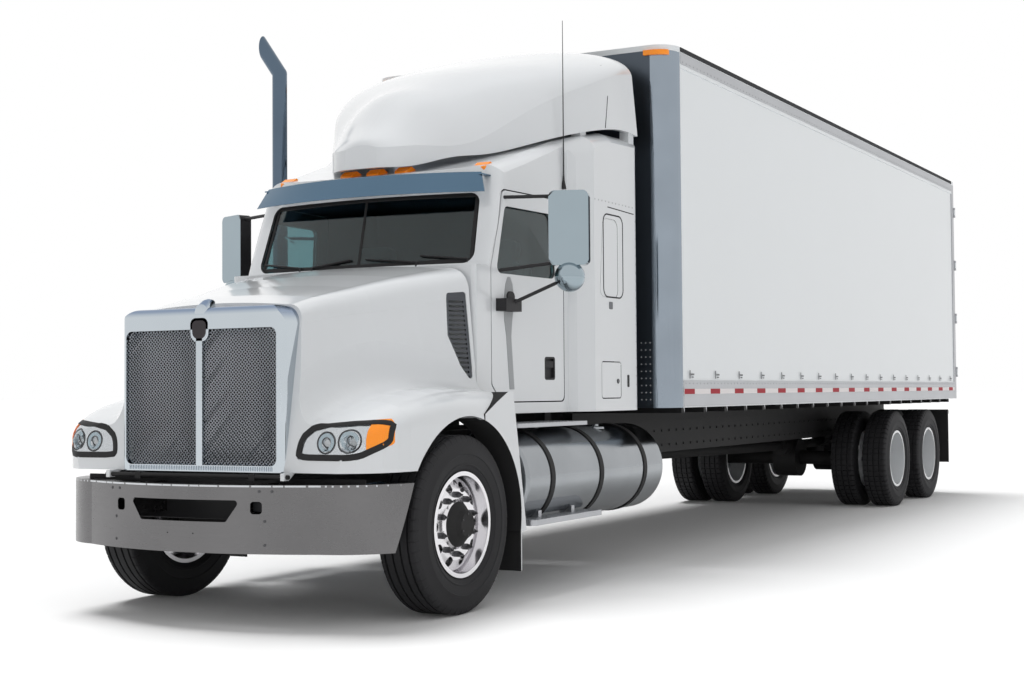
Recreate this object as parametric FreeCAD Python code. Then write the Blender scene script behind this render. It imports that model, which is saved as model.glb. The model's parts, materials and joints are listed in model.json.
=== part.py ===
"""Three-axle straight truck with a long nose, a sleeper cab and a van body.

Millimetres. +Z is up, the nose faces -Y and +X is the truck's own left side.
The origin lies on the ground under the middle of the whole truck.
"""
import FreeCAD, Part
import math
import os

V = FreeCAD.Vector
X_AXIS, Y_AXIS, Z_AXIS = V(1, 0, 0), V(0, 1, 0), V(0, 0, 1)

# Overall layout along the truck, measured from the front axle
bumper_reach = 1055.0
wheelbase = 9304.0
tandem_spacing = 1320.0
van_setback = 2580.0
van_length = 8440.0
door_gear_reach = 48.0

# General fits
seat_gap = 0.3
pin_play = 0.05
running_gap = 8.0
clearance = 6.0
overrun = 60.0

# Wheels and tyres
tyre_radius = 507.0
tyre_width = 280.0
tyre_tread_width = 226.0
rim_radius = 300.0
rim_width = 236.0
rim_lip = 14.0
rim_thickness = 12.0
bead_step = 12.0
hand_hole_radius = 30.0
hand_hole_count = 10
front_track = 2020.0
rear_track = 1850.0
twin_spacing = 345.0
hub_radius = 142.0
bearing_radius = 60.0
spindle_reach = 95.0
drum_radius = 205.0

# Front axle and steering
kingpin_track = 1780.0
kingpin_radius = 24.0
kingpin_boss_radius = 52.0
axle_beam_drop = 60.0
beam_height = 110.0
beam_width = 100.0
beam_eye_height = 130.0
knuckle_arm_reach = 150.0
knuckle_arm_thickness = 30.0
tie_rod_radius = 19.0
tie_rod_pin_radius = 12.0

# Chassis frame
frame_width = 864.0
frame_top = 1010.0
rail_depth = 270.0
rail_flange = 85.0
rail_thickness = 9.0
frame_front_reach = 700.0
frame_rear_inset = 130.0
cross_member_depth = 140.0
cross_member_width = 90.0
cross_member_count = 7
diff_radius = 205.0
diff_nose_reach = 330.0

# Cab
cab_floor_height = 1120.0
cab_belt_height = 2030.0
cab_header_height = 2560.0
cab_front = 470.0
cab_front_half = 900.0
cab_corner_half = 970.0
cab_back = 1530.0
cab_back_half = 990.0
cab_top_half = 925.0
cab_back_top_half = 970.0
wall = 45.0
pane = 6.0
glass_depth = 18.0
screen_front = 545.0
screen_corner = 606.0
screen_corner_half = 860.0
screen_top_front = 670.0
screen_top_corner = 775.0
screen_top_half = 815.0
door_front = 650.0
door_back = 1485.0
door_sill = 1195.0
door_gap = 8.0
window_sill = 1990.0
window_head = 2415.0
window_front = 705.0
window_back = 1375.0
door_turn = 40.0
window_turn = 45.0
screen_turn = 70.0
handle_front = 1250.0
handle_back = 1370.0
handle_low = 1330.0
handle_high = 1480.0
handle_turn = 18.0
handle_depth = 20.0

# Sleeper
sleeper_back = 2380.0
sleeper_half = 1120.0
sleeper_flare = 1680.0
sleeper_roof = 3050.0
sleeper_corner = 60.0
luggage_front = 1785.0
luggage_back = 2074.0
luggage_sill = 1210.0
luggage_head = 1450.0
luggage_thickness = 25.0

# Roof line over the cab and sleeper: shares of its length, climb and half width
roof_start = 450.0
roof_shoulder = 150.0
roof_shares = [
    (0.000, 0.082, 0.830),
    (0.171, 0.229, 0.839),
    (0.337, 0.439, 0.857),
    (0.503, 0.663, 0.884),
    (0.560, 0.745, 0.897),
    (0.648, 0.857, 1.009),
    (0.777, 0.969, 1.018),
    (1.000, 1.000, 1.018),
]

# Roof fairing: shares along, half width, low edge, crease width, crease, top, fullness
fairing_front = 600.0
fairing_low = 2690.0
fairing_top = 3745.0
fairing_skin = 30.0
fairing_shares = [
    (0.000, 0.107, 0.000, 0.107, 0.123, 0.142, 0.50),
    (0.022, 0.196, 0.000, 0.196, 0.123, 0.199, 0.50),
    (0.062, 0.268, 0.009, 0.268, 0.133, 0.256, 0.55),
    (0.140, 0.366, 0.052, 0.366, 0.142, 0.398, 0.60),
    (0.275, 0.527, 0.104, 0.518, 0.199, 0.569, 0.65),
    (0.455, 0.741, 0.204, 0.714, 0.417, 0.720, 0.75),
    (0.596, 0.893, 0.284, 0.862, 0.559, 0.806, 0.85),
    (0.787, 0.982, 0.351, 0.946, 0.692, 0.910, 0.92),
    (1.000, 1.000, 0.355, 0.964, 0.768, 1.000, 0.95),
]

# Hood: shares along, then fender half width, side top, crown, crown run, foot of the
# bonnet side, its height, shoulder, top, shoulder turn and camber
hood_nose = 905.0
hood_back = 440.0
hood_bottom = 835.0
hood_top = 2010.0
hood_half = 1172.0
hood_skin = 25.0
hood_steps = 2
hood_shares = [
    (-0.030, 0.680, 0.055, 0.128, 0.145, 0.508, 0.311, 0.474, 0.728, 0.085, 0.017),
    (0.000, 0.734, 0.081, 0.174, 0.205, 0.512, 0.353, 0.478, 0.736, 0.085, 0.017),
    (0.048, 0.853, 0.123, 0.217, 0.230, 0.520, 0.413, 0.486, 0.755, 0.085, 0.017),
    (0.123, 0.939, 0.157, 0.260, 0.239, 0.529, 0.481, 0.499, 0.772, 0.094, 0.017),
    (0.257, 0.985, 0.191, 0.319, 0.239, 0.555, 0.549, 0.520, 0.813, 0.102, 0.021),
    (0.487, 1.000, 0.217, 0.370, 0.222, 0.623, 0.609, 0.580, 0.874, 0.128, 0.021),
    (0.710, 1.000, 0.209, 0.379, 0.188, 0.717, 0.566, 0.670, 0.936, 0.145, 0.026),
    (1.000, 1.000, 0.140, 0.363, 0.137, 0.806, 0.481, 0.772, 1.000, 0.145, 0.026),
]
nose_low_back = 20.0
nose_top_back = 165.0
nose_top = 1735.0
arch_radius = 590.0
arch_centre_height = 530.0
hood_hinge_y = 940.0
hood_hinge_z = 815.0
hood_pin_radius = 12.0
hood_lug_x = 600.0
hood_lug_width = 26.0

# Grille
surround_half = 570.0
surround_corner = 110.0
grille_half = 530.0
grille_bottom = 870.0
grille_top = 1612.0
grille_bar_half = 22.0
grille_rows = 20
grille_columns = 7

# Bumper
bumper_half = 1175.0
bumper_bottom = 412.0
bumper_top = 775.0
bumper_sweep = 495.0
bumper_knee_half = 800.0
bumper_knee = 160.0
bumper_skin = 8.0
bumper_return = 90.0

# Fuel tanks
tank_radius = 305.0
tank_centre_x = 850.0
tank_centre_z = 715.0
tank_front = 700.0
tank_length = 2000.0
right_tank_front = 1750.0
right_tank_length = 950.0

# Van body
van_half = 1295.0
van_bottom = 1130.0
van_top = 3762.0
van_corner = 165.0
van_wall = 40.0
van_floor_height = 1250.0
van_floor_thickness = 45.0
van_roof_thickness = 40.0
panel_setback = 8.0
rear_depth = 100.0
rear_post = 90.0
rear_header = 150.0
cargo_door_thickness = 45.0
cargo_hinge_radius = 7.0
cargo_hinge_outset = 7.0
cargo_hinge_offset = 14.0
cargo_hinge_shares = (0.087, 0.366, 0.644, 0.922)

# Exhaust stack
stack_radius = 54.0
stack_x = 1400.0
stack_y = 1540.0
stack_knee = 3620.0
canister_radius = 215.0
canister_z = 715.0

overall_length = bumper_reach + van_setback + van_length + door_gear_reach
axle_y = bumper_reach - overall_length / 2
frame_half = frame_width / 2
rail_low = frame_top - rail_depth
van_front = van_setback
van_back = van_setback + van_length


def at(y):
    """Place along the truck of a point measured back from the front axle."""
    return axle_y + y


def mix(low, high, share):
    return low + (high - low) * share


def block(x0, x1, y0, y1, z0, z1):
    x0, x1 = sorted((x0, x1))
    return Part.makeBox(x1 - x0, y1 - y0, z1 - z0, V(x0, y0, z0))


def rod(start, end, radius):
    return Part.makeCylinder(radius, (end - start).Length, start, end - start)


def pipe(start, end, outer, inner):
    return rod(start, end, outer).cut(rod(start, end, inner))


def line(start, end):
    return Part.LineSegment(start, end).toShape()


def arc(start, middle, end):
    return Part.Arc(start, middle, end).toShape()


def bend(start, pole, end):
    """Smooth curve that leaves its start and reaches its end in line with the pole."""
    curve = Part.BezierCurve()
    curve.setPoles([start, pole, end])
    return curve.toShape()


def rounded_wire(corners, radius):
    """Closed wire through the corners, each one turned by the radius."""
    turns = []
    for i, corner in enumerate(corners):
        before = (corners[i - 1] - corner).normalize()
        after = (corners[(i + 1) % len(corners)] - corner).normalize()
        half = before.getAngle(after) / 2
        setback = radius / math.tan(half)
        middle = (before + after).normalize() * (radius / math.sin(half) - radius)
        turns.append((corner + before * setback, corner + middle, corner + after * setback))
    edges = []
    for i, (start, middle, end) in enumerate(turns):
        edges.append(arc(start, middle, end))
        edges.append(line(end, turns[(i + 1) % len(turns)][0]))
    return Part.Wire(edges)


def face_of(points, radius=0):
    if radius:
        return Part.Face(rounded_wire(points, radius))
    return Part.Face(Part.makePolygon(points + [points[0]]))


def side_prism(points, x0, x1, radius=0):
    """Prism across the truck from a side outline of (y, z) points."""
    return face_of([V(x0, y, z) for y, z in points], radius).extrude(V(x1 - x0, 0, 0))


def front_prism(points, y0, y1, radius=0):
    """Prism along the truck from a front outline of (x, z) points."""
    return face_of([V(x, y0, z) for x, z in points], radius).extrude(V(0, y1 - y0, 0))


def plan_prism(points, z0, z1, radius=0):
    """Upright prism from a plan outline of (x, y) points."""
    return face_of([V(x, y, z0) for x, y in points], radius).extrude(V(0, 0, z1 - z0))


def ring_profile(points):
    """Solid of revolution about the X axis from (x, radius) points."""
    face = face_of([V(x, 0, r) for x, r in points])
    return face.revolve(V(0, 0, 0), X_AXIS, 360)


def mirrored(shape):
    return shape.mirror(V(0, 0, 0), X_AXIS)


def both(shape):
    return [shape, mirrored(shape)]


def fused(shapes):
    first = shapes[0].fuse(shapes[1:]) if len(shapes) > 1 else shapes[0]
    return first.removeSplitter()


def largest(shape):
    return max(shape.Solids, key=lambda body: body.Volume)


def save(name, shapes):
    shape = Part.makeCompound(shapes) if isinstance(shapes, list) else shapes
    shape.exportStep("parts/" + name + ".step")
    print(name, len(shape.Solids), shape.isValid(), round(shape.Volume / 1e6, 1))


def cab_outline(z, front, bow, front_half, run, half, back_half, inset, back):
    """Plan outline of the cab: a bowed front, bent corners and straight sides."""
    pole_in, pole_back = 6.0, 10.0
    f = front + inset
    right = [V(front_half - inset, at(f), z), V(half - inset, at(f + run), z),
             V(back_half - inset, at(back), z)]
    left = [V(-p.x, p.y, z) for p in right]
    pole = V(half - inset - pole_in, at(f + pole_back), z)
    edges = [arc(left[0], V(0, at(f - bow), z), right[0]), bend(right[0], pole, right[1]),
             line(right[1], right[2]), line(right[2], left[2]), line(left[2], left[1]),
             bend(left[1], V(-pole.x, pole.y, z), left[0])]
    return Part.Wire(edges)


def cab_lower(inset, back):
    bow, run = 15.0, 130.0
    low = cab_floor_height + inset
    outline = cab_outline(low, cab_front, bow, cab_front_half, run, cab_corner_half,
                          cab_back_half, inset, back)
    return Part.Face(outline).extrude(V(0, 0, cab_belt_height - inset - low))


def cab_upper(inset, back):
    """Greenhouse from the belt up, its screen and sides leaning in with the height."""
    run = 60.0
    outlines = []
    for z in (cab_belt_height - inset * 2, sleeper_roof + overrun):
        rise = (z - cab_belt_height) / (cab_header_height - cab_belt_height)
        front = mix(screen_corner, screen_top_corner, rise)
        bow = front - mix(screen_front, screen_top_front, rise)
        outlines.append(cab_outline(z, front, bow, mix(screen_corner_half, screen_top_half, rise),
                                    run, mix(cab_corner_half, cab_top_half, rise),
                                    mix(cab_back_half, cab_back_top_half, rise), inset, back))
    return Part.makeLoft(outlines, True, True)


def cab_toe(inset):
    """Slab that slants the cab's lower front corner."""
    rise, run = 155.0, 265.0
    start = V(0, at(cab_front), cab_floor_height + rise)
    end = V(0, at(cab_front) + run, cab_floor_height)
    along = (end - start).normalize()
    inward = X_AXIS.cross(along)
    a, b = start - along * overrun + inward * inset, end + along * overrun + inward * inset
    depth = inward * (overrun * 4)
    corners = [a, b, b - depth, a - depth]
    return side_prism([(p.y, p.z) for p in corners], -sleeper_half, sleeper_half)


def roof_tunnel(inset):
    """Space under the roof line, a round-shouldered tunnel that climbs to the rear."""
    sections = []
    low = cab_floor_height - overrun
    turn = roof_shoulder - inset
    cut = turn * (1 - math.sqrt(0.5))
    for along, climb, width in roof_shares:
        y = at(mix(roof_start, sleeper_back, along))
        top = mix(cab_header_height, sleeper_roof, climb) - inset
        half = sleeper_half * width - inset
        p = [V(half, y, low), V(half, y, top - turn), V(half - turn, y, top)]
        q = [V(-a.x, y, a.z) for a in p]
        edges = [line(q[0], p[0]), line(p[0], p[1]),
                 arc(p[1], V(half - cut, y, top - cut), p[2]), line(p[2], q[2]),
                 arc(q[2], V(cut - half, y, top - cut), q[1]), line(q[1], q[0])]
        sections.append(Part.Wire(edges))
    return Part.makeLoft(sections, True, True)


def cab_solid(inset, back):
    body = fused([cab_lower(inset, back), cab_upper(inset, back)])
    return body.cut(cab_toe(inset)).common(roof_tunnel(inset))


def cab_skin(depth, thickness):
    return cab_solid(depth, cab_back).cut(cab_solid(depth + thickness, cab_back + overrun))


def door_outline(grow):
    y0, y1 = at(door_front) - grow, at(door_back) + grow
    z0, z1 = door_sill - grow, cab_header_height - wall + grow
    lean, corner = 160.0, 110.0
    return [(y0 + lean, z1), (y1, z1), (y1, z0), (y0 + corner, z0),
            (y0, z0 + corner), (y0, cab_belt_height)]


def window_outline(grow):
    y0, y1 = at(window_front) - grow, at(window_back) + grow
    z0, z1 = window_sill - grow, window_head + grow
    slant = 105.0
    return [(y0, z0), (y1, z0), (y1, z1), (y0 + slant, z1)]


def screen_outline(grow):
    low_half, high_half, low, high = 835.0, 800.0, 2050.0, 2502.0
    return [(-low_half - grow, low - grow), (low_half + grow, low - grow),
            (high_half + grow, high + grow), (-high_half - grow, high + grow)]


def handle_outline(grow):
    y0, y1 = at(handle_front) - grow, at(handle_back) + grow
    z0, z1 = handle_low - grow, handle_high + grow
    return [(y0, z0), (y1, z0), (y1, z1), (y0, z1)]


def door_side():
    """Reach of the cuts through the cab's left side."""
    return cab_top_half - wall * 4, sleeper_half + wall


def make_cab():
    shell = cab_skin(0, wall)
    shell = shell.cut(front_prism(screen_outline(0), at(screen_front) - wall * 2,
                                  at(screen_corner) + wall * 4, screen_turn))
    opening = side_prism(door_outline(door_gap), *door_side(), door_turn)
    for cutter in both(opening):
        shell = shell.cut(cutter)
    save("cab_shell", shell)
    glass = cab_skin(glass_depth, pane).common(
        front_prism(screen_outline(-seat_gap), at(screen_front) - wall * 2,
                    at(screen_corner) + wall * 4, screen_turn))
    save("windscreen", glass)


def door_handle():
    """Recessed cup and its lever, set into the door's outer face."""
    rim, skin, lever_low, lever_high = 12.0, 3.0, 1410.0, 1452.0
    outer = cab_solid(0, cab_back)
    cup = side_prism(handle_outline(-seat_gap), *door_side(), handle_turn)
    cup = cup.common(outer.cut(cab_solid(handle_depth - seat_gap, cab_back)))
    hollow = side_prism(handle_outline(-rim), *door_side(), handle_turn - rim / 2)
    cup = cup.cut(hollow.cut(cab_solid(handle_depth - skin, cab_back)))
    y0, y1 = at(handle_front) + rim / 2, at(handle_back) - rim / 2
    lever = block(*door_side(), y0, y1, lever_low, lever_high)
    lever = lever.common(cab_solid(skin, cab_back).cut(cab_solid(handle_depth / 2, cab_back)))
    return largest(fused([cup, lever]))


def make_doors():
    door = cab_skin(0, wall).common(side_prism(door_outline(0), *door_side(), door_turn))
    door = door.cut(side_prism(window_outline(0), *door_side(), window_turn))
    recess = side_prism(handle_outline(0), *door_side(), handle_turn)
    door = largest(door.cut(recess.cut(cab_solid(handle_depth, cab_back))))
    glass = cab_skin(glass_depth, pane).common(
        side_prism(window_outline(-seat_gap), *door_side(), window_turn))
    handle = door_handle()
    save("door_left_panel", [door, handle])
    save("door_left_glass", glass)
    save("door_right_panel", [mirrored(door), mirrored(handle)])
    save("door_right_glass", mirrored(glass))


def make_mirrors():
    """Mirror head, round mirror and their arms on one door."""
    y, low, high, half_width, half_depth, turn = 960.0, 2035.0, 2500.0, 125.0, 42.0, 38.0
    head_x, yaw, tube = 1316.0, 20.0, 11.0
    head = front_prism([(head_x - half_width, low), (head_x + half_width, low),
                        (head_x + half_width, high), (head_x - half_width, high)],
                       at(y) - half_depth, at(y) + half_depth, turn)
    head.rotate(V(head_x, at(y), low), Z_AXIS, yaw)
    dome_radius, dome_drop = 95.0, 70.0
    dome_centre = V(head_x, at(y), low - dome_drop)
    front_half = block(-dome_radius, dome_radius, -dome_radius, 0, -dome_radius, dome_radius)
    dome = Part.makeSphere(dome_radius).common(front_half)
    dome.rotate(V(0, 0, 0), Z_AXIS, yaw)
    dome.translate(dome_centre)
    inside = cab_corner_half - wall
    bracket_front, bracket_back, bracket_low, bracket_high = 700.0, 890.0, 1754.0, 1831.0
    bracket_depth = 42.0
    bracket = block(inside, cab_corner_half + bracket_depth, at(bracket_front),
                    at(bracket_back), bracket_low, bracket_high)
    bracket_middle = V(cab_corner_half, at((bracket_front + bracket_back) / 2),
                       (bracket_low + bracket_high) / 2)
    upper_foot, lower_foot, inset = 815.0, 740.0, 30.0
    arms = [rod(V(inside, at(upper_foot), high - inset), V(head_x, at(y), high - inset), tube),
            rod(V(inside, at(lower_foot), low - inset), V(head_x, at(y), low + inset), tube),
            rod(bracket_middle, dome_centre, tube),
            rod(dome_centre, V(head_x, at(y), low + inset), tube)]
    mirror = fused([head, dome, bracket] + arms)
    mirror = largest(mirror.cut(cab_solid(-seat_gap, cab_back)))
    save("door_left_mirror", mirror)
    save("door_right_mirror", mirrored(mirror))


def sleeper_solid(inset, front):
    lead, pole_in, pole_back = 20.0, 12.0, 60.0
    z = cab_floor_height + inset
    f, s, b = cab_back_half - inset, sleeper_half - inset, sleeper_back - inset
    turn = sleeper_corner - inset / 2
    cut = turn * (1 - math.sqrt(0.5))
    p = [V(f, at(front), z), V(f, at(cab_back + lead), z), V(s, at(sleeper_flare), z),
         V(s, at(b - turn), z), V(s - turn, at(b), z)]
    q = [V(-a.x, a.y, z) for a in p]
    pole = V(s - pole_in, at(cab_back + lead + pole_back), z)
    edges = [line(q[0], p[0]), line(p[0], p[1]), bend(p[1], pole, p[2]), line(p[2], p[3]),
             arc(p[3], V(s - cut, at(b - cut), z), p[4]), line(p[4], q[4]),
             arc(q[4], V(cut - s, at(b - cut), z), q[3]), line(q[3], q[2]),
             bend(q[2], V(-pole.x, pole.y, z), q[1]), line(q[1], q[0])]
    body = Part.Face(Part.Wire(edges)).extrude(V(0, 0, sleeper_roof + overrun - z))
    return body.common(roof_tunnel(inset))


def luggage_outline(grow):
    y0, y1 = at(luggage_front) - grow, at(luggage_back) + grow
    z0, z1 = luggage_sill - grow, luggage_head + grow
    return [(y0, z0), (y1, z0), (y1, z1), (y0, z1)]


def hatch_outline(grow):
    """Shut line of the panel high on the sleeper's side."""
    front, back, low, high, slant = 1760.0, 2040.0, 1890.0, 2430.0, 50.0
    y0, y1 = at(front) - grow, at(back) + grow
    return [(y0, low - grow), (y1, low - grow), (y1, high + grow), (y0 + slant, high + grow)]


def make_sleeper():
    front = cab_back + seat_gap
    shell = sleeper_solid(0, front).cut(sleeper_solid(wall, front - overrun))
    turn, gap, groove, groove_depth = 20.0, 7.0, 5.0, 4.0
    opening = side_prism(luggage_outline(gap), sleeper_half - wall * 2, sleeper_half + wall,
                         turn + gap)
    ring = side_prism(hatch_outline(0), sleeper_half - groove_depth, sleeper_half + wall,
                      turn * 3)
    ring = ring.cut(side_prism(hatch_outline(-groove), sleeper_half - groove_depth,
                               sleeper_half + wall, turn * 3 - groove))
    for cutter in both(opening) + both(ring):
        shell = shell.cut(cutter)
    save("sleeper_shell", shell)
    door = side_prism(luggage_outline(0), sleeper_half - luggage_thickness, sleeper_half, turn)
    save("luggage_door_left", door)
    save("luggage_door_right", mirrored(door))


def fairing_solid(inset, drop, reach):
    """Domed fairing as a smooth loft; drop lowers its open edge, reach extends its rear."""
    sections = []
    for along, width, low, crease_width, crease, top, fullness in fairing_shares:
        y = at(mix(fairing_front + inset, sleeper_back + reach, along))
        z0 = mix(fairing_low, fairing_top, low) - drop
        half = sleeper_half * width - inset
        z1 = mix(fairing_low, fairing_top, crease) - inset
        crease_half = sleeper_half * crease_width - inset
        z2 = mix(fairing_low, fairing_top, top) - inset
        p = [V(half, y, z0), V(crease_half, y, z1)]
        q = [V(-a.x, y, a.z) for a in p]
        crown = V(0, y, z2)
        edges = [line(q[0], p[0]), line(p[0], p[1]),
                 bend(p[1], V(crease_half * fullness, y, z2), crown),
                 bend(crown, V(-crease_half * fullness, y, z2), q[1]), line(q[1], q[0])]
        sections.append(Part.Wire(edges))
    return Part.makeLoft(sections, True, False)


def make_fairing():
    shell = fairing_solid(0, 0, 0).cut(fairing_solid(fairing_skin, overrun, overrun))
    foot_length, foot_width, foot_height, stand = 80.0, 55.0, 70.0, 40.0
    front_foot, front_half, rear_foot, rear_half = 1720.0, 990.0, 2280.0, 1082.0
    feet = []
    for y, wall_half in ((front_foot, front_half), (rear_foot, rear_half)):
        top = sleeper_roof + stand
        foot = block(wall_half - foot_width, wall_half + fairing_skin / 2, at(y),
                     at(y) + foot_length, top - foot_height * 2, top)
        feet += both(foot)
    roof = sleeper_solid(-seat_gap, cab_back)
    feet = [foot.cut(roof) for foot in feet]
    save("roof_fairing", largest(fused([shell] + feet)))


def make_visor():
    half_low, half_high, bow, thickness = 885.0, 830.0, 170.0, 8.0
    low, high, low_back, high_back = 2492.0, 2625.0, 50.0, 105.0
    y = at(screen_corner)
    bands = []
    for z, half, corner in ((low, half_low, y + low_back), (high, half_high, y + high_back)):
        ends = [V(-half, corner, z), V(half, corner, z)]
        deep = V(0, thickness, 0)
        crown = V(0, corner - bow, z)
        edges = [arc(ends[0], crown, ends[1]), line(ends[1], ends[1] + deep),
                 arc(ends[1] + deep, crown + deep, ends[0] + deep), line(ends[0] + deep, ends[0])]
        bands.append(Part.Wire(edges))
    plate = Part.makeLoft(bands, True, True)
    arm_half, arm_reach, arm_drop = 20.0, 240.0, 20.0
    z0, z1 = high - arm_drop, high - arm_drop + thickness
    arms = [block(x - arm_half, x + arm_half, y + high_back - thickness * 2, y + arm_reach, z0, z1)
            for x in (-half_high, half_high)]
    arms.append(block(-arm_half, arm_half, y + high_back - bow, y + arm_reach, z0, z1))
    visor = fused([plate] + arms).cut(cab_solid(-seat_gap, cab_back))
    save("sun_visor", largest(visor))


def make_marker_lamps():
    half, height, length, turn, sunk = 48.0, 38.0, 120.0, 16.0, 120.0
    outer_x, outer_back, inner_x, inner_back, middle_back = 761.0, 130.0, 213.0, 58.0, 50.0
    roof = cab_solid(-seat_gap, cab_back)
    foot_share = roof_shares[1][1]
    lamps = []
    for x, back in ((outer_x, outer_back), (inner_x, inner_back), (0, middle_back)):
        y = at(screen_top_front) + back
        top = mix(cab_header_height, sleeper_roof, foot_share) + height / 2
        profile = [(y, top - sunk), (y + length, top - sunk), (y + length, top),
                   (y + length / 2, top + height / 2), (y, top - height / 2)]
        lamp = side_prism(profile, x - half, x + half, turn / 2)
        lamp = lamp.common(plan_prism([(x - half, y), (x + half, y), (x + half, y + length),
                                       (x - half, y + length)], top - sunk * 2, top + sunk,
                                      turn)).cut(roof)
        lamps += both(lamp) if x else [lamp]
    body_in, body_out, body_height, body_depth, below_top = 45.0, 128.0, 36.0, 18.0, 75.0
    x, y, z = van_half - van_corner, at(van_front) + van_corner, van_top - below_top
    ring = pipe(V(x, y, z), V(x, y, z + body_height), van_corner + body_depth,
                van_corner + seat_gap)
    turned = ring.common(block(x, x + body_out, y - van_corner * 2, y, z, z + body_height))
    straight = block(x - body_in, x, y - van_corner - body_depth, y - van_corner - seat_gap,
                     z, z + body_height)
    lamps += both(fused([turned, straight]))
    tail_radius, tail_depth, tail_step, tail_inset = 42.0, 16.0, 120.0, 150.0
    z = (van_bottom + van_floor_height) / 2
    for i in range(3):
        x = van_half - tail_inset - tail_step * i
        lamps += both(rod(V(x, at(van_back) + seat_gap, z),
                          V(x, at(van_back) + tail_depth, z), tail_radius))
    z = van_top - van_roof_thickness - rear_header / 2
    lamps += [rod(V(x, at(van_back) + seat_gap, z), V(x, at(van_back) + tail_depth, z),
                  tail_radius / 2) for x in (-tail_step, 0, tail_step)]
    save("marker_lamps", lamps)


def make_interior():
    floor = cab_floor_height + wall + seat_gap
    low, high, back_high, lip, side = 1650.0, 1970.0, 1955.0, 1870.0, 60.0
    shelf, brow, leg_half, leg_depth = 170.0, 330.0, 120.0, 260.0
    y = at(cab_front) + wall + side / 2
    dash = side_prism([(y, low), (y, high), (y + shelf, back_high), (y + brow, lip),
                       (y + brow - side / 2, low)],
                      -cab_front_half + wall + side, cab_front_half - wall - side, side / 3)
    leg = block(-leg_half, leg_half, y, y + leg_depth, floor, low + side)
    leg = leg.cut(cab_toe(wall + seat_gap))
    wheel_x, wheel_y, wheel_z, wheel_radius, grip, lean = 500.0, 925.0, 1905.0, 215.0, 15.0, 35.0
    column_radius, column_length, spoke_radius = 26.0, 330.0, 10.0
    hub = V(wheel_x, at(wheel_y), wheel_z)
    tilt = V(0, math.sin(math.radians(lean)), math.cos(math.radians(lean)))
    wheel = Part.makeTorus(wheel_radius, grip, hub, tilt)
    column = rod(hub - tilt * column_length, hub + tilt * grip / 2, column_radius)
    reach = wheel_radius - grip / 2
    spokes = [rod(hub, hub + ray * reach, spoke_radius)
              for ray in (X_AXIS, X_AXIS * -1, X_AXIS.cross(tilt))]
    save("dashboard", fused([dash, leg, column, wheel] + spokes))
    make_seats(floor)


def make_seats(floor):
    seat_x, seat_y, cushion_low, cushion_top, turn = 500.0, 1010.0, 1420.0, 1540.0, 45.0
    base_half, base_length, half, front, length = 150.0, 330.0, 250.0, 70.0, 500.0
    back_low, back_top, back_depth, lean, head_half = 1500.0, 2130.0, 100.0, 90.0, 140.0
    head_top, pedestal = 2300.0, 40.0
    seats = []
    for x in (-seat_x, seat_x):
        y = at(seat_y)
        base = block(x - base_half, x + base_half, y, y + base_length, floor, cushion_low + turn)
        cushion = plan_prism([(x - half, y - front), (x + half, y - front),
                              (x + half, y - front + length), (x - half, y - front + length)],
                             cushion_low, cushion_top, turn)
        start = y - front + length - pedestal * 2
        back = front_prism([(x - half, back_low), (x + half, back_low), (x + half, back_top),
                            (x - half, back_top)], start, start + back_depth, turn * 2)
        head = front_prism([(x - head_half, back_top - turn), (x + head_half, back_top - turn),
                            (x + head_half, head_top), (x - head_half, head_top)],
                           start, start + back_depth, turn)
        upright = fused([back, head])
        upright.rotate(V(x, start, back_low), X_AXIS, -math.degrees(math.atan2(lean, head_top - back_low)))
        seats.append(fused([base, cushion, upright]))
    save("seats", seats)
    bunk_front, bunk_top, board, depth, inset = 1760.0, 1640.0, 30.0, 140.0, 10.0
    x = sleeper_half - wall - inset
    y0, y1 = at(bunk_front), at(sleeper_back) - wall - inset
    mattress = plan_prism([(-x, y0), (x, y0), (x, y1), (-x, y1)], bunk_top - depth, bunk_top, turn)
    panel = block(-x, x, y0, y0 + board, floor, bunk_top - depth + board)
    shelf = plan_prism([(-x, y0), (x, y0), (x, y1), (-x, y1)], bunk_top - depth,
                       bunk_top - depth + board, turn)
    save("sleeper_bunk", fused([mattress, panel, shelf]))


def nose_slab(back):
    """Space ahead of the hood's raked front, its face moved back by a distance."""
    depth = nose_top_back * 4
    front = at(-hood_nose)
    slope = (nose_top_back - nose_low_back) / (nose_top - hood_bottom)
    z0, z1 = hood_bottom - overrun * 2, nose_top + depth
    y0 = front + nose_low_back + back - slope * overrun * 2
    y1 = y0 + slope * (z1 - z0)
    return side_prism([(y0, z0), (y1, z1), (front - depth, z1), (front - depth, z0)],
                      -hood_half - overrun, hood_half + overrun)


def hood_wire(shares, inset, drop):
    """One station of the hood: fender side, crown, bonnet side, shoulder and camber."""
    along, fender, side_top, crown, run, foot, foot_top, shoulder, top, turn, camber = shares
    y = at(mix(-hood_nose, hood_back, along))
    climb = hood_top - hood_bottom
    half, foot_half, shoulder_half = (hood_half * s - inset for s in (fender, foot, shoulder))
    z_side, z_crown, z_foot, z_top = (hood_bottom + climb * s - inset
                                      for s in (side_top, crown, foot_top, top))
    turn, rise = hood_half * turn, climb * camber
    right = [V(half, y, hood_bottom - drop), V(half, y, z_side), V(half, y, z_crown),
             V(half - hood_half * run, y, z_crown), V(foot_half, y, z_crown),
             V(foot_half, y, z_foot), V(shoulder_half, y, z_top - turn),
             V(shoulder_half, y, z_top), V(shoulder_half - turn, y, z_top)]
    left = [V(-p.x, y, p.z) for p in right]
    edges = [line(left[0], right[0]), line(right[0], right[1]),
             bend(right[1], right[2], right[3]), bend(right[3], right[4], right[5]),
             line(right[5], right[6]), bend(right[6], right[7], right[8]),
             bend(right[8], V(0, y, z_top + rise * 2), left[8]),
             bend(left[8], left[7], left[6]), line(left[6], left[5]),
             bend(left[5], left[4], left[3]), bend(left[3], left[2], left[1]),
             line(left[1], left[0])]
    return Part.Wire(edges)


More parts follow.
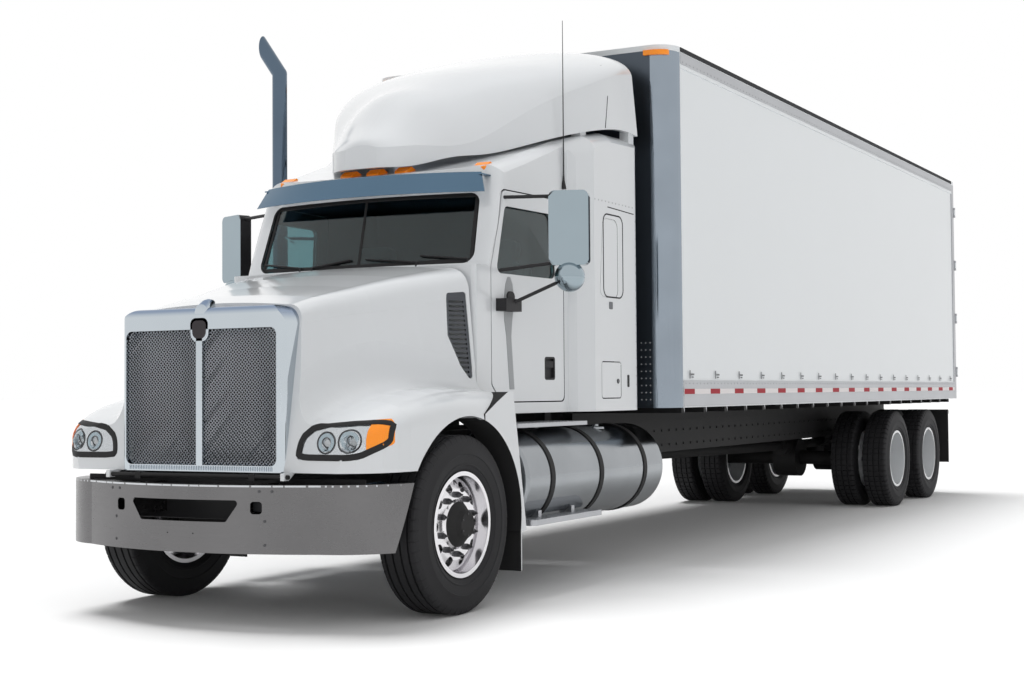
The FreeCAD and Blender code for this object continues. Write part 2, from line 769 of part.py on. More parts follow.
def eased_rows(rows, steps):
    """The rows with further stations between them, each column on a smooth curve."""
    def slope(i, k):
        a, b = rows[max(i - 1, 0)], rows[min(i + 1, len(rows) - 1)]
        return (b[k] - a[k]) / (b[0] - a[0])

    eased = []
    for i in range(len(rows) - 1):
        a, b = rows[i], rows[i + 1]
        span = b[0] - a[0]
        for j in range(steps):
            t = j / steps
            keep, leave = 1 + t ** 2 * (2 * t - 3), t * (1 - t) ** 2
            arrive = t ** 2 * (t - 1)
            eased.append([a[0] + span * t] + [
                keep * a[k] + leave * slope(i, k) * span + (1 - keep) * b[k]
                + arrive * slope(i + 1, k) * span for k in range(1, len(a))])
    return eased + [rows[-1]]


def hood_solid(inset, drop):
    """Solid under the hood's skin: a loft through eased stations, raked at the nose."""
    rows = eased_rows(hood_shares, hood_steps)
    body = Part.makeLoft([hood_wire(row, inset, drop) for row in rows], True, True)
    return body.cut(nose_slab(inset))


def grille_outline(grow):
    h, z0, z1 = grille_half + grow, grille_bottom - grow, grille_top + grow
    return [(-h, z0), (h, z0), (h, z1), (-h, z1)]


def lamp_outline(grow):
    points = [(632.0, 905.0), (1010.0, 905.0), (1128.0, 985.0), (1128.0, 1122.0),
              (750.0, 1090.0), (650.0, 1015.0)]
    centre_x, centre_z = 890.0, 1005.0
    return [(x + grow * math.copysign(1, x - centre_x), z + grow * math.copysign(1, z - centre_z))
            for x, z in points]


def lamp_zone(grow):
    ahead, wrap, turn = 1000.0, 658.0, 24.0
    return front_prism(lamp_outline(grow), at(-ahead), at(-wrap) + grow, turn)


def intake_outline(grow):
    front, back, low, knee, knee_front, front_low = 245.0, 416.0, 1300.0, 1420.0, 318.0, 1590.0
    top, top_back, lean = 1845.0, 1858.0, 25.0
    y0, y1 = at(front) - grow, at(back) + grow
    return [(y0, front_low), (at(knee_front), knee - grow), (y1, low - grow),
            (y1, top_back + grow), (y0 + lean, top + grow)]


def fender_seam(gap):
    """Seam between the hood's fender and the panel behind the wheel, from below up."""
    front, middle, back, low, first, second, top = 170.0, 300.0, 430.0, 900.0, 1128.0, 1195.0, 1255.0
    return [(at(front) + gap, low), (at(front) + gap, first), (at(middle) + gap, second),
            (at(back) + gap, top)]


def arch_rod(radius, x0, x1):
    return rod(V(x0, at(0), arch_centre_height), V(x1, at(0), arch_centre_height), radius)


def make_hood():
    shell = hood_solid(0, 0).cut(hood_solid(hood_skin, overrun))
    liner_gap, liner_skin, liner_in, liner_low = 10.0, 12.0, 660.0, 850.0
    radius = arch_radius + liner_gap
    liner = arch_rod(radius + liner_skin, liner_in, hood_half - hood_skin / 2).cut(
        arch_rod(radius, liner_in - overrun, hood_half))
    liner = liner.common(block(liner_in, hood_half, at(-radius * 2), at(radius * 2),
                               liner_low, nose_top))
    shell = fused([shell] + both(liner))
    reach = hood_half + overrun
    seam = fender_seam(0)
    behind = side_prism(seam + [(at(hood_back) + reach, seam[-1][1]), (at(hood_back) + reach,
                        0), (seam[0][0], 0)], -reach, reach)
    margin, turn = 12.0, 40.0
    opening = front_prism(grille_outline(margin), at(-hood_nose) - overrun,
                          at(-hood_nose) + nose_top_back + overrun, turn)
    intake = side_prism(intake_outline(0), cab_front_half / 2, reach, turn / 2)
    cutters = [arch_rod(arch_radius, -reach, reach), behind, opening]
    cutters += both(lamp_zone(0)) + both(intake)
    for cutter in cutters:
        shell = shell.cut(cutter)
    shell = largest(shell)
    y, z = at(-hood_hinge_y), hood_hinge_z
    skin_y = at(-hood_nose) + nose_low_back
    half, drop, grip, inside = 20.0, 18.0, 80.0, 6.0
    lug = side_prism([(y - half, z - drop), (y + half, z - drop),
                      (skin_y + hood_skin, hood_bottom + inside),
                      (skin_y + hood_skin + inside, hood_bottom + grip),
                      (skin_y + hood_skin, hood_bottom + grip),
                      (skin_y + inside, hood_bottom + inside), (y - half, z + half)],
                     hood_lug_x, hood_lug_x + hood_lug_width)
    lug = lug.cut(rod(V(hood_lug_x - overrun, y, z), V(hood_lug_x + overrun, y, z),
                      hood_pin_radius + pin_play))
    save("hood_shell", fused([shell] + both(lug)))


def make_headlamps():
    """Clear covers over housings with two round bowls and an amber side lamp each."""
    lens, space, depth = 4.0, 1.0, 70.0
    skin = hood_solid(0, 0)
    zone = lamp_zone(-seat_gap)
    cover = largest(skin.common(zone).cut(hood_solid(lens, overrun)))
    housing = hood_solid(lens + space, 0).common(lamp_zone(-seat_gap * 2))
    housing = housing.cut(hood_solid(depth, overrun))
    bowl_radius, bowl_depth, floor_radius = 56.0, 60.0, 22.0
    for x, y, z in ((822.0, -870.0, 987.0), (962.0, -828.0, 994.0)):
        bowl = Part.makeCone(floor_radius, bowl_radius, bowl_depth, V(x, at(y) + bowl_depth / 2, z),
                             Y_AXIS * -1)
        mouth = rod(V(x, at(y) - bowl_depth / 2, z), V(x, at(y) - bowl_depth * 3, z), bowl_radius)
        housing = housing.cut(fused([bowl, mouth]))
    housing = largest(housing)
    save("headlamps", both(cover) + both(housing))


def make_hood_screens():
    """Slotted screens of the side intakes."""
    outer, inner, slot, pitch, margin = 4.0, 12.0, 14.0, 28.0, 20.0
    zone = side_prism(intake_outline(-seat_gap), cab_front_half / 2, hood_half, margin)
    screen = hood_solid(outer, 0).cut(hood_solid(inner, overrun)).common(zone)
    screen = largest(screen)
    outline = intake_outline(-margin)
    z, top = outline[2][1] + margin, outline[-1][1] - margin
    inside = side_prism(outline, cab_front_half / 2, hood_half)
    slots = []
    while z + slot < top:
        slots.append(block(cab_front_half / 2, hood_half, outline[0][0], outline[2][0], z, z + slot))
        z += pitch
    screen = screen.cut(Part.makeCompound(slots).common(inside))
    save("hood_intakes", both(screen))


def make_grille():
    """Rolled bright surround with a centre bar, and a punched screen each side of it."""
    front, back = at(-hood_nose), at(-hood_nose) + nose_top_back
    h, roll, plan_turn, bar_depth = surround_half, 55.0, 45.0, 40.0
    deep = back + overrun
    face = [V(-h, front, hood_bottom), V(h, front, hood_bottom), V(h, front, nose_top),
            V(-h, front, nose_top)]
    corners = [(p.x, p.z) for p in face]
    block_form = front_prism(corners, front, deep, 1)
    top_form = front_prism([(-h, hood_bottom - surround_corner * 2), (h, hood_bottom
                           - surround_corner * 2), (h, nose_top), (-h, nose_top)],
                           front, deep, surround_corner)
    plan_form = plan_prism([(-h, front), (h, front), (h, deep + surround_corner),
                            (-h, deep + surround_corner)], hood_bottom, nose_top, plan_turn)
    side_form = side_prism([(front, hood_bottom - surround_corner), (front, nose_top),
                            (deep + surround_corner, nose_top),
                            (deep + surround_corner, hood_bottom - surround_corner)], -h, h, roll)
    solid = block_form.common(top_form).common(plan_form).common(side_form)
    solid = solid.common(nose_slab(-seat_gap))
    turn = 40.0
    solid = solid.cut(front_prism(grille_outline(0), front - overrun, deep, turn))
    b = grille_bar_half
    bar = front_prism([(-b, grille_bottom - 1), (b, grille_bottom - 1), (b, grille_top + 1),
                       (-b, grille_top + 1)], front, front + bar_depth)
    bar = bar.common(side_form)
    save("grille_surround", fused([solid, bar]))
    set_back, thickness, rib = 14.0, 10.0, 14.0
    left = b + seat_gap
    right = grille_half - seat_gap
    z0, z1 = grille_bottom + seat_gap, grille_top - seat_gap
    screen = front_prism([(left, z0), (right, z0), (right, z1), (left, z1)], front + set_back,
                         front + set_back + thickness)
    corner = front_prism(grille_outline(-seat_gap), front, front + set_back * 2, turn)
    screen = screen.common(corner)
    edge = turn
    pitch_x = (right - left - edge) / grille_columns
    pitch_z = (z1 - z0 - edge) / grille_rows
    holes = []
    for i in range(grille_columns):
        for j in range(grille_rows):
            x, z = left + edge / 2 + pitch_x * i, z0 + edge / 2 + pitch_z * j
            holes.append(block(x + rib / 2, x + pitch_x - rib / 2, front, front + set_back * 2,
                               z + rib / 2, z + pitch_z - rib / 2))
    screen = screen.cut(Part.makeCompound(holes))
    save("grille_mesh", both(screen))


def make_bumper():
    """Pressed bumper: a bowed C section with a trapezoid air slot."""
    front = at(-bumper_reach)
    end, corner_x, corner_back = front + bumper_sweep, 1030.0, 265.0
    knee, corner = front + bumper_knee, front + corner_back
    tail = end + bumper_return * 2
    right = [V(bumper_knee_half, knee, 0), V(corner_x, corner, 0), V(bumper_half, end, 0),
             V(bumper_half, tail, 0)]
    left = [V(-p.x, p.y, 0) for p in right]
    plan = Part.Face(Part.Wire([arc(left[0], V(0, front, 0), right[0]), arc(*right[:3]),
                                line(right[2], right[3]), line(right[3], left[3]),
                                line(left[3], left[2]), arc(*left[2::-1])]))
    height = bumper_top - bumper_bottom
    turn = 18.0
    outer = plan.extrude(V(0, 0, height))
    inner = plan.makeOffset2D(-bumper_skin).extrude(V(0, 0, height - bumper_skin * 2))
    inner.translate(V(0, 0, bumper_skin))
    core = plan.makeOffset2D(-bumper_return).extrude(V(0, 0, height + overrun * 2))
    core.translate(V(0, 0, -overrun))
    rake = 112.0
    lean = rake / height
    back = side_prism([(end - rake - lean * overrun, -overrun), (end + lean * overrun, height + overrun),
                       (tail + overrun, height + overrun), (tail + overrun, -overrun)],
                      -bumper_half - overrun, bumper_half + overrun)
    shell = largest(outer.cut(inner).cut(core).cut(back))
    shell.translate(V(0, 0, bumper_bottom))
    slot_low, slot_high, slot_low_half, slot_high_half = 578.0, 694.0, 295.0, 382.0
    slot = front_prism([(-slot_low_half, slot_low), (slot_low_half, slot_low),
                        (slot_high_half, slot_high), (-slot_high_half, slot_high)],
                       front - overrun, front + bumper_knee, turn)
    tow_x, tow_z, tow_half = 472.0, 655.0, 33.0
    tow = front_prism([(tow_x - tow_half, tow_z - tow_half), (tow_x + tow_half, tow_z - tow_half),
                       (tow_x + tow_half, tow_z + tow_half), (tow_x - tow_half, tow_z + tow_half)],
                      front - overrun, front + bumper_knee, turn)
    plate_x, plate_z, plate_hole = 89.0, 514.0, 4.0
    plate = rod(V(plate_x, front - overrun, plate_z), V(plate_x, front + overrun, plate_z),
                plate_hole)
    for cutter in [slot] + both(tow) + both(plate):
        shell = shell.cut(cutter)
    bracket_x, bracket_half, bracket_low = 400.0, 15.0, 600.0
    bracket = block(bracket_x - bracket_half, bracket_x + bracket_half, front,
                    at(-frame_front_reach), bracket_low, bumper_top - bumper_skin / 2)
    bracket = bracket.common(plan.makeOffset2D(-bumper_skin / 2).extrude(V(0, 0, bumper_top)))
    save("front_bumper", fused([shell] + both(bracket)))


def make_frame():
    y0, y1 = at(-frame_front_reach), at(van_back - frame_rear_inset)
    web, flange, t = frame_half, frame_half - rail_flange, rail_thickness
    rail = front_prism([(web, rail_low), (web, frame_top), (flange, frame_top),
                        (flange, frame_top - t), (web - t, frame_top - t),
                        (web - t, rail_low + t), (flange, rail_low + t), (flange, rail_low)],
                       y0, y1)
    inner = frame_half - rail_thickness
    low = (frame_top + rail_low - cross_member_depth) / 2
    high = low + cross_member_depth
    pitch = (y1 - y0 - cross_member_width) / (cross_member_count - 1)
    pieces = both(rail)
    for i in range(cross_member_count):
        y = y0 + pitch * i
        end = y + cross_member_width
        channel = side_prism([(y, low), (end, low), (end, low + t), (y + t, low + t),
                              (y + t, high - t), (end, high - t), (end, high), (y, high)],
                             -inner, inner)
        pieces.append(channel)
    mount_front, mount_middle, mount_back, mount_length = 720.0, 1380.0, 2230.0, 90.0
    for y in (mount_front, mount_middle, mount_back):
        pieces += both(block(flange, web, at(y), at(y) + mount_length, frame_top,
                             cab_floor_height - seat_gap))
    pin_y, pin_reach, arm_x, arm_half, arm_drop, arm_rise = (
        at(-hood_hinge_y), hood_lug_x + 40.0, 400.0, 20.0, 22.0, 15.0)
    pieces.append(rod(V(-pin_reach, pin_y, hood_hinge_z), V(pin_reach, pin_y, hood_hinge_z),
                      hood_pin_radius))
    pieces += both(block(arm_x - arm_half, arm_x + arm_half, pin_y - hood_pin_radius,
                         y0 + arm_half, hood_hinge_z - arm_drop, hood_hinge_z + arm_rise))
    save("chassis_frame", fused(pieces))


def make_engine():
    """Plain blocks for the closed-in heavy pieces, and the gearbox seen from below."""
    front, back, top, lift, mount_half, mount_depth = -430.0, 400.0, 1560.0, 20.0, 60.0, 100.0
    inner = frame_half - rail_flange - lift
    engine = block(-inner, inner, at(front), at(back), rail_low + lift, top)
    mount = block(rail_thickness - frame_half, frame_half - rail_thickness, at(-mount_half),
                  at(mount_half), rail_low + lift * 3, rail_low + lift * 3 + mount_depth)
    core_half, core_front, core_back, core_top = 480.0, -690.0, -600.0, 1640.0
    radiator = block(-core_half, core_half, at(core_front), at(core_back),
                     frame_top + seat_gap, core_top)
    save("engine_block", [fused([engine, mount]), radiator])
    case_half, bell_low, bell_high, case_high, tail_low, tail_high = (
        200.0, 700.0, 1000.0, 980.0, 720.0, 900.0)
    case_back, tail_back = 1000.0, 1150.0
    gearbox = side_prism([(at(back) + seat_gap, bell_low), (at(back) + seat_gap, bell_high),
                          (at(case_back), case_high), (at(tail_back), tail_high),
                          (at(tail_back), tail_low)], -case_half, case_half)
    shaft_radius, start_z, end_z, flange_gap = 50.0, 745.0, 640.0, 0.95
    nose = wheelbase - tandem_spacing / 2 - diff_nose_reach - flange_gap
    shafts = [rod(V(0, at(tail_back) + flange_gap, start_z), V(0, at(nose), end_z), shaft_radius)]
    bowl_edge = wheelbase - tandem_spacing / 2 + diff_radius
    shafts.append(rod(V(0, at(bowl_edge), end_z), V(0, at(nose + tandem_spacing), end_z),
                      shaft_radius))
    save("drive_shafts", [gearbox] + shafts)


def make_drive_axles():
    tube_radius, diff_half, nose_radius, nose_rise, tube_inset, end_inset = (
        76.0, 130.0, 95.0, 130.0, 100.0, 50.0)
    hub_face = rear_track / 2
    axles = []
    for k in (-1, 1):
        y = at(wheelbase + tandem_spacing * k / 2)
        tube = rod(V(tube_inset - hub_face, y, tyre_radius),
                   V(hub_face - tube_inset, y, tyre_radius), tube_radius)
        spindle = rod(V(-hub_face - end_inset, y, tyre_radius),
                      V(hub_face + end_inset, y, tyre_radius), bearing_radius)
        bowl = rod(V(-diff_half, y, tyre_radius), V(diff_half, y, tyre_radius), diff_radius)
        nose = rod(V(0, y - diff_nose_reach, tyre_radius + nose_rise),
                   V(0, y, tyre_radius + nose_rise), nose_radius)
        axles.append(fused([tube, spindle, bowl, nose]))
    save("drive_axles", axles)
    z = tyre_radius + tube_radius + seat_gap
    seat_half, sag, sag_half, depth, rise = 110.0, 40.0, 120.0, 50.0, 120.0
    y0, y1 = at(wheelbase - tandem_spacing / 2), at(wheelbase + tandem_spacing / 2)
    middle = (y0 + y1) / 2
    beam = side_prism([(y0 - seat_half, z), (y0 + seat_half, z), (middle - sag_half, z - sag),
                       (middle + sag_half, z - sag), (y1 - seat_half, z), (y1 + seat_half, z),
                       (y1 + seat_half, z + depth), (middle + sag_half, z + rise),
                       (middle - sag_half, z + rise), (y0 - seat_half, z + depth)],
                      frame_half - rail_flange, frame_half)
    saddle = side_prism([(middle - seat_half, z + depth), (middle + seat_half, z + depth),
                         (middle + seat_half * 2, rail_low), (middle - seat_half * 2, rail_low)],
                        frame_half - rail_flange, frame_half)
    save("rear_suspension", both(fused([beam, saddle])))


def tyre_shape():
    w, tread = tyre_width / 2, tyre_tread_width / 2
    bead, seat = rim_width / 2 - rim_lip - seat_gap, rim_radius - bead_step
    lip, wall_step, shoulder_drop, shoulder_step, side_drop = 2.0, 4.0, 24.0, 11.0, 90.0
    half = [(w, (seat + tyre_radius) / 2), (w - wall_step, tyre_radius - side_drop),
            (tread + shoulder_step, tyre_radius - shoulder_drop),
            (tread - shoulder_step, tyre_radius)]
    right = [(bead, seat), (bead, rim_radius + lip)] + half
    return ring_profile(right + [(-x, r) for x, r in right[::-1]])


def rim_ring(x):
    w, seat = rim_width / 2, rim_radius - bead_step - seat_gap
    return ring_profile([(x - w, rim_radius), (x - w + rim_lip, rim_radius),
                         (x - w + rim_lip, seat), (x + w - rim_lip, seat),
                         (x + w - rim_lip, rim_radius), (x + w, rim_radius),
                         (x + w, seat - rim_thickness), (x - w, seat - rim_thickness)])


def hand_holes(circle, x0, x1):
    step = 2 * math.pi / hand_hole_count
    return Part.makeCompound([
        rod(V(x0, circle * math.cos(step * i), circle * math.sin(step * i)),
            V(x1, circle * math.cos(step * i), circle * math.sin(step * i)), hand_hole_radius)
        for i in range(hand_hole_count)])


def brake_drum(x0, x1):
    """Open drum behind a wheel disc, with the web that carries it on the hub."""
    web, skin = 12.0, 17.0
    return ring_profile([(x0, drum_radius - skin), (x0, drum_radius), (x1, drum_radius),
                         (x1, hub_radius - web), (x1 - web, hub_radius - web),
                         (x1 - web, drum_radius - skin)])


def front_wheel():
    disc_x, dish, hub_out, flange, circle, spread = 20.0, 40.0, 150.0, 60.0, 217.0, 40.0
    drum_in, drum_out, hub_in, cap_depth, cap_share = -80.0, -4.0, -16.0, 25.0, 0.62
    t, bore = rim_thickness, bearing_radius + pin_play
    inner = rim_radius - bead_step - seat_gap - t + 1
    outer = disc_x + dish + t
    disc = ring_profile([(disc_x, hub_radius - spread), (disc_x, hub_radius + spread / 2),
                         (disc_x - t, inner), (disc_x, inner), (disc_x + t + spread / 4, inner - t),
                         (outer, hub_radius + flange), (outer, hub_radius - spread)])
    hub = ring_profile([(hub_in, bore), (hub_in, hub_radius), (outer, hub_radius),
                        (hub_out - cap_depth, hub_radius * cap_share), (hub_out - cap_depth, bore)])
    cap = ring_profile([(hub_out - cap_depth, 0), (hub_out - cap_depth, hub_radius * cap_share),
                        (hub_out, hub_radius / 2), (hub_out, 0)])
    disc = disc.cut(hand_holes(circle, -rim_width, rim_width))
    return fused([rim_ring(0), disc, hub, cap, brake_drum(drum_in, drum_out)])


def twin_wheels():
    """Two rims back to back on one hub, as a shape of revolution about the X axis."""
    offset = twin_spacing / 2
    edge = offset - rim_width / 2 + rim_thickness
    spread, circle, hub_in, face, nose, cap_out = 20.0, 222.0, -60.0, 30.0, 60.0, 85.0
    cap_radius, cap_end, drum_in, drum_out = 95.0, 88.0, -150.0, -48.0
    t, bore = rim_thickness, bearing_radius + pin_play
    seat = rim_radius - bead_step - seat_gap - t + 1
    cone = [(0, hub_radius - spread), (0, hub_radius + spread * 3), (edge - t, seat),
            (edge, seat), (t, hub_radius + spread * 3), (t, hub_radius - spread)]
    discs = fused([ring_profile(cone), ring_profile([(-x, r) for x, r in cone])])
    hub = ring_profile([(hub_in, bore), (hub_in, hub_radius), (face, hub_radius),
                        (face + t, cap_radius), (nose, cap_radius), (nose, bore)])
    cap = ring_profile([(nose, 0), (nose, cap_radius), (cap_out, cap_end), (cap_out, 0)])
    discs = discs.cut(hand_holes(circle, -edge * 2, edge * 2))
    return fused([rim_ring(-offset), rim_ring(offset), discs, hub, cap,
                  brake_drum(drum_in, drum_out)])


def placed(shape, side, x, y):
    """Turn a left-hand wheel part to its side and set its centre."""
    shape = shape.copy() if side > 0 else mirrored(shape)
    shape.translate(V(x, y, tyre_radius))
    return shape


def make_wheels():
    wheel, tyre, twins = front_wheel(), tyre_shape(), twin_wheels()
    for name, side in (("left", 1), ("right", -1)):
        x = side * front_track / 2
        save("wheel_front_" + name, placed(wheel, side, x, at(0)))
        save("tyre_front_" + name, placed(tyre, side, x, at(0)))
    for axle in (1, 2):
        y = at(wheelbase + tandem_spacing * (axle - 1.5))
        for name, side in (("left", 1), ("right", -1)):
            label = "_rear_%d_%s" % (axle, name)
            tyres = [placed(tyre, side, side * (rear_track + k * twin_spacing) / 2, y)
                     for k in (1, -1)]
            save("tyres" + label, tyres)
            save("wheels" + label, placed(twins, side, side * rear_track / 2, y))


def make_front_axle():
    half = kingpin_track / 2
    low, high = tyre_radius - beam_eye_height / 2, tyre_radius + beam_eye_height / 2
    dropped = low - axle_beam_drop
    drop_in, drop_out, pocket = half - 300.0, half - 110.0, 28.0
    right = [(drop_in, dropped), (drop_out, low), (half, low), (half, high), (drop_out, high),
             (drop_in, dropped + beam_height)]
    outline = right + [(-x, z) for x, z in right[::-1]]
    y0, y1 = at(0) - beam_width / 2, at(0) + beam_width / 2
    beam = front_prism(outline, y0, y1)
    pocket_low, pocket_high = dropped + pocket, dropped + beam_height - pocket
    for a, b in ((y0 - overrun, y0 + pocket), (y1 - pocket, y1 + overrun)):
        beam = beam.cut(block(-drop_in, drop_in, a, b, pocket_low, pocket_high))
    eyes = both(rod(V(half, at(0), low), V(half, at(0), high), kingpin_boss_radius))
    body = fused([beam] + eyes)
    for bore in both(rod(V(half, at(0), low - overrun), V(half, at(0), high + overrun),
                         kingpin_radius + pin_play)):
        body = body.cut(bore)
    save("front_axle", body)
    width, leaf, reach, eye_drop, hanger_half, clamp_half = 80.0, 48.0, 640.0, 55.0, 45.0, 90.0
    eye_z, x0 = rail_low - eye_drop, frame_half - rail_flange
    seat = dropped + beam_height + seat_gap
    ends = [V(x0, at(-reach), eye_z), V(x0, at(reach), eye_z)]
    lift, belly = V(0, 0, leaf / 2), V(0, 0, leaf)
    low_middle = V(x0, at(0), seat)
    edges = [arc(ends[0], low_middle, ends[1]), line(ends[1], ends[1] + lift),
             arc(ends[1] + lift, low_middle + belly, ends[0] + lift),
             line(ends[0] + lift, ends[0])]
    stack = Part.Face(Part.Wire(edges)).extrude(V(width, 0, 0))
    hangers = [block(x0, x0 + width, at(y) - hanger_half, at(y) + hanger_half,
                     eye_z - leaf / 2, rail_low) for y in (-reach, reach)]
    clamp = block(x0, x0 + width, at(-clamp_half), at(clamp_half), seat + leaf / 2,
                  seat + leaf * 1.5)
    save("front_springs", both(fused([stack, clamp] + hangers)))


def make_knuckles():
    half, arm = kingpin_track / 2, knuckle_arm_thickness
    low = tyre_radius - beam_eye_height / 2 - clearance
    high = tyre_radius + beam_eye_height / 2 + clearance
    plate_skin, depth, inward, lever_half, ball_radius = 36.0, 48.0, 45.0, 30.0, 30.0
    plate_in = half + kingpin_boss_radius + running_gap
    plate_out = plate_in + plate_skin
    y0, y1 = at(-depth), at(depth)
    pieces = [block(half - inward, plate_out, y0, y1, high, high + arm),
              block(half - inward, plate_out, y0, y1, low - arm, low),
              block(plate_in, plate_out, y0, y1, low - arm, high + arm),
              rod(V(half, at(0), low - arm), V(half, at(0), high + arm), kingpin_radius),
              rod(V(plate_out, at(0), tyre_radius),
                  V(front_track / 2 + spindle_reach, at(0), tyre_radius), bearing_radius)]
    reach = at(knuckle_arm_reach)
    rod_top = low - arm - clearance
    rod_low = rod_top - tie_rod_radius * 2
    pieces += [block(half - lever_half, half + lever_half, at(0), reach, low - arm, low),
               rod(V(half, reach, low - arm), V(half, reach, low), ball_radius),
               rod(V(half, reach, rod_low), V(half, reach, low), tie_rod_pin_radius)]
    knuckle = fused(pieces)
    save("knuckle_left", knuckle)
    save("knuckle_right", mirrored(knuckle))
    z, inset, eye_radius = (rod_low + rod_top) / 2, 20.0, 28.0
    bar = rod(V(inset - half, reach, z), V(half - inset, reach, z), tie_rod_radius)
    eyes = both(rod(V(half, reach, rod_low), V(half, reach, rod_top), eye_radius))
    body = fused([bar] + eyes)
    for bore in both(rod(V(half, reach, rod_low - overrun), V(half, reach, rod_top + overrun),
                         tie_rod_pin_radius + pin_play)):
        body = body.cut(bore)
    save("tie_rod", body)


def tank(front, length, side):
    turn = 28.0
    solid = rod(V(side * tank_centre_x, at(front), tank_centre_z),
                V(side * tank_centre_x, at(front + length), tank_centre_z), tank_radius)
    ends = [edge for edge in solid.Edges if isinstance(edge.Curve, Part.Circle)]
    return solid.makeFillet(turn, ends)


def tank_cradles(front, length, side):
    """Straps round a tank, each on a bracket from the frame rail."""
    strap, half_width, sink, height = 6.0, 25.0, 20.0, 240.0
    pieces = []
    for share in (0.16, 0.5, 0.84):
        y = at(front + length * share)
        x = side * tank_centre_x
        ends = V(x, y - half_width, tank_centre_z), V(x, y + half_width, tank_centre_z)
        ring = pipe(*ends, tank_radius + strap, tank_radius + seat_gap)
        arm = block(side * frame_half, x, y - half_width, y + half_width,
                    tank_centre_z - sink, tank_centre_z + height)
        pieces.append(fused([ring, arm.cut(rod(*ends, tank_radius + seat_gap))]))
    return pieces


def make_tanks():
    save("fuel_tanks", [tank(tank_front, tank_length, 1),
                        tank(right_tank_front, right_tank_length, -1)])
    save("tank_straps", tank_cradles(tank_front, tank_length, 1)
         + tank_cradles(right_tank_front, right_tank_length, -1))
    front, back, post_half, stand, thickness, turn = 710.0, 1640.0, 20.0, 14.0, 25.0, 40.0
    in_x, out_x = tank_centre_x - 80.0, tank_centre_x + 245.0
    top = tank_centre_z + tank_radius + stand
    ring = rod(V(tank_centre_x, at(tank_front), tank_centre_z),
               V(tank_centre_x, at(tank_front + tank_length), tank_centre_z),
               tank_radius + seat_gap)
    first_post, second_post = 960.0, 1400.0
    plate = plan_prism([(in_x, at(front)), (out_x, at(front)), (out_x, at(back)),
                        (in_x, at(back))], top, top + thickness, turn)
    posts = [block(in_x + post_half, in_x + post_half * 3, at(y) - post_half, at(y) + post_half,
                   top - overrun, top + thickness / 2).cut(ring)
             for y in (first_post, second_post)]
    upper = fused([plate] + posts)
    low, tread_in, tread_out, tread_skin, leg_in, leg_rise = 440.0, 1052.0, 1195.0, 35.0, 985.0, 75.0
    tread = plan_prism([(tread_in, at(front)), (tread_out, at(front)), (tread_out, at(back)),
                        (tread_in, at(back))], low, low + tread_skin, turn)
    legs = [block(leg_in, tread_in + turn, at(y) - post_half, at(y) + post_half, low,
                  low + leg_rise).cut(ring) for y in (first_post, second_post)]
    lower = fused([tread] + legs)
    # The right side's steps hang on two plates that also hold the exhaust canister
    plate_skin, plate_out, canister_x = 14.0, 1120.0, 820.0
    steps = [block(-in_x, -out_x, at(front), at(back), top, top + thickness),
             block(-tread_in, -tread_out, at(front), at(back), low, low + tread_skin)]
    for y in (first_post, second_post):
        side_plate = front_prism([(-frame_half, rail_low), (-frame_half, frame_top),
                                  (-canister_x, top + thickness / 2),
                                  (-out_x, top + thickness / 2),
                                  (-plate_out - post_half, low + tread_skin / 2),
                                  (-canister_x, low + tread_skin / 2)], at(y) - plate_skin,
                                 at(y) + plate_skin)
        hole = rod(V(-canister_x, at(y) - overrun, canister_z),
                   V(-canister_x, at(y) + overrun, canister_z), canister_radius + seat_gap)
        steps.append(side_plate.cut(hole))
    save("cab_steps", [upper, lower, fused(steps)])


def make_exhaust():
    """Canister under the right side and the upright stack with its turned-out tip."""
    x, y = -stack_x, at(stack_y)
    canister_x, front, back, low, turn = -820.0, 780.0, 1620.0, 1090.0, 30.0
    skin, tip_out, tip_rise = 4.0, 150.0, 205.0
    canister = rod(V(canister_x, at(front), canister_z), V(canister_x, at(back), canister_z),
                   canister_radius)
    ends = [edge for edge in canister.Edges if isinstance(edge.Curve, Part.Circle)]
    canister = canister.makeFillet(turn, ends)
    r = stack_radius
    foot, knee = V(x, y, low), V(x, y, stack_knee)
    tip = V(x - tip_out, y, knee.z + tip_rise)
    ray = (tip - knee).normalize()
    mouth = rod(knee, tip + ray * r * 2, r).cut(
        block(tip.x, tip.x - r * 4, y - r, y + r, knee.z, tip.z + r * 4))
    pieces = [canister, rod(V(canister_x, y, canister_z), foot, r), Part.makeSphere(r, foot),
              rod(foot, knee, r), Part.makeSphere(r, knee), mouth]
    bore = rod(knee + ray * r, tip + ray * r * 4, r - skin)
    brace_radius, brace_low, brace_high, pad_half, pad_depth = 12.0, 1500.0, 2400.0, 30.0, 20.0
    wall_x, wall_y = -sleeper_half - seat_gap, at(sleeper_flare + overrun)
    for z in (brace_low, brace_high):
        pieces.append(block(wall_x - pad_depth, wall_x, wall_y - pad_half, wall_y + pad_half,
                            z - pad_half, z + pad_half))
        pieces.append(rod(V(wall_x - pad_depth / 2, wall_y, z), V(x, y, z), brace_radius))
    save("exhaust_stack", fused(pieces).cut(bore))


def van_outline(inset):
    """Plan outline of the van body with its round front corners."""
    x, y0, y1, c = van_half - inset, at(van_front) + inset, at(van_back), van_corner - inset
    cut = c * (1 - math.sqrt(0.5))
    p = [V(x, y1, 0), V(x, y0 + c, 0), V(x - cut, y0 + cut, 0), V(x - c, y0, 0)]
    q = [V(-a.x, a.y, 0) for a in p]
    return Part.Face(Part.Wire([line(q[0], p[0]), line(p[0], p[1]), arc(*p[1:]),
                                line(p[3], q[3]), arc(*q[:0:-1]), line(q[1], q[0])]))


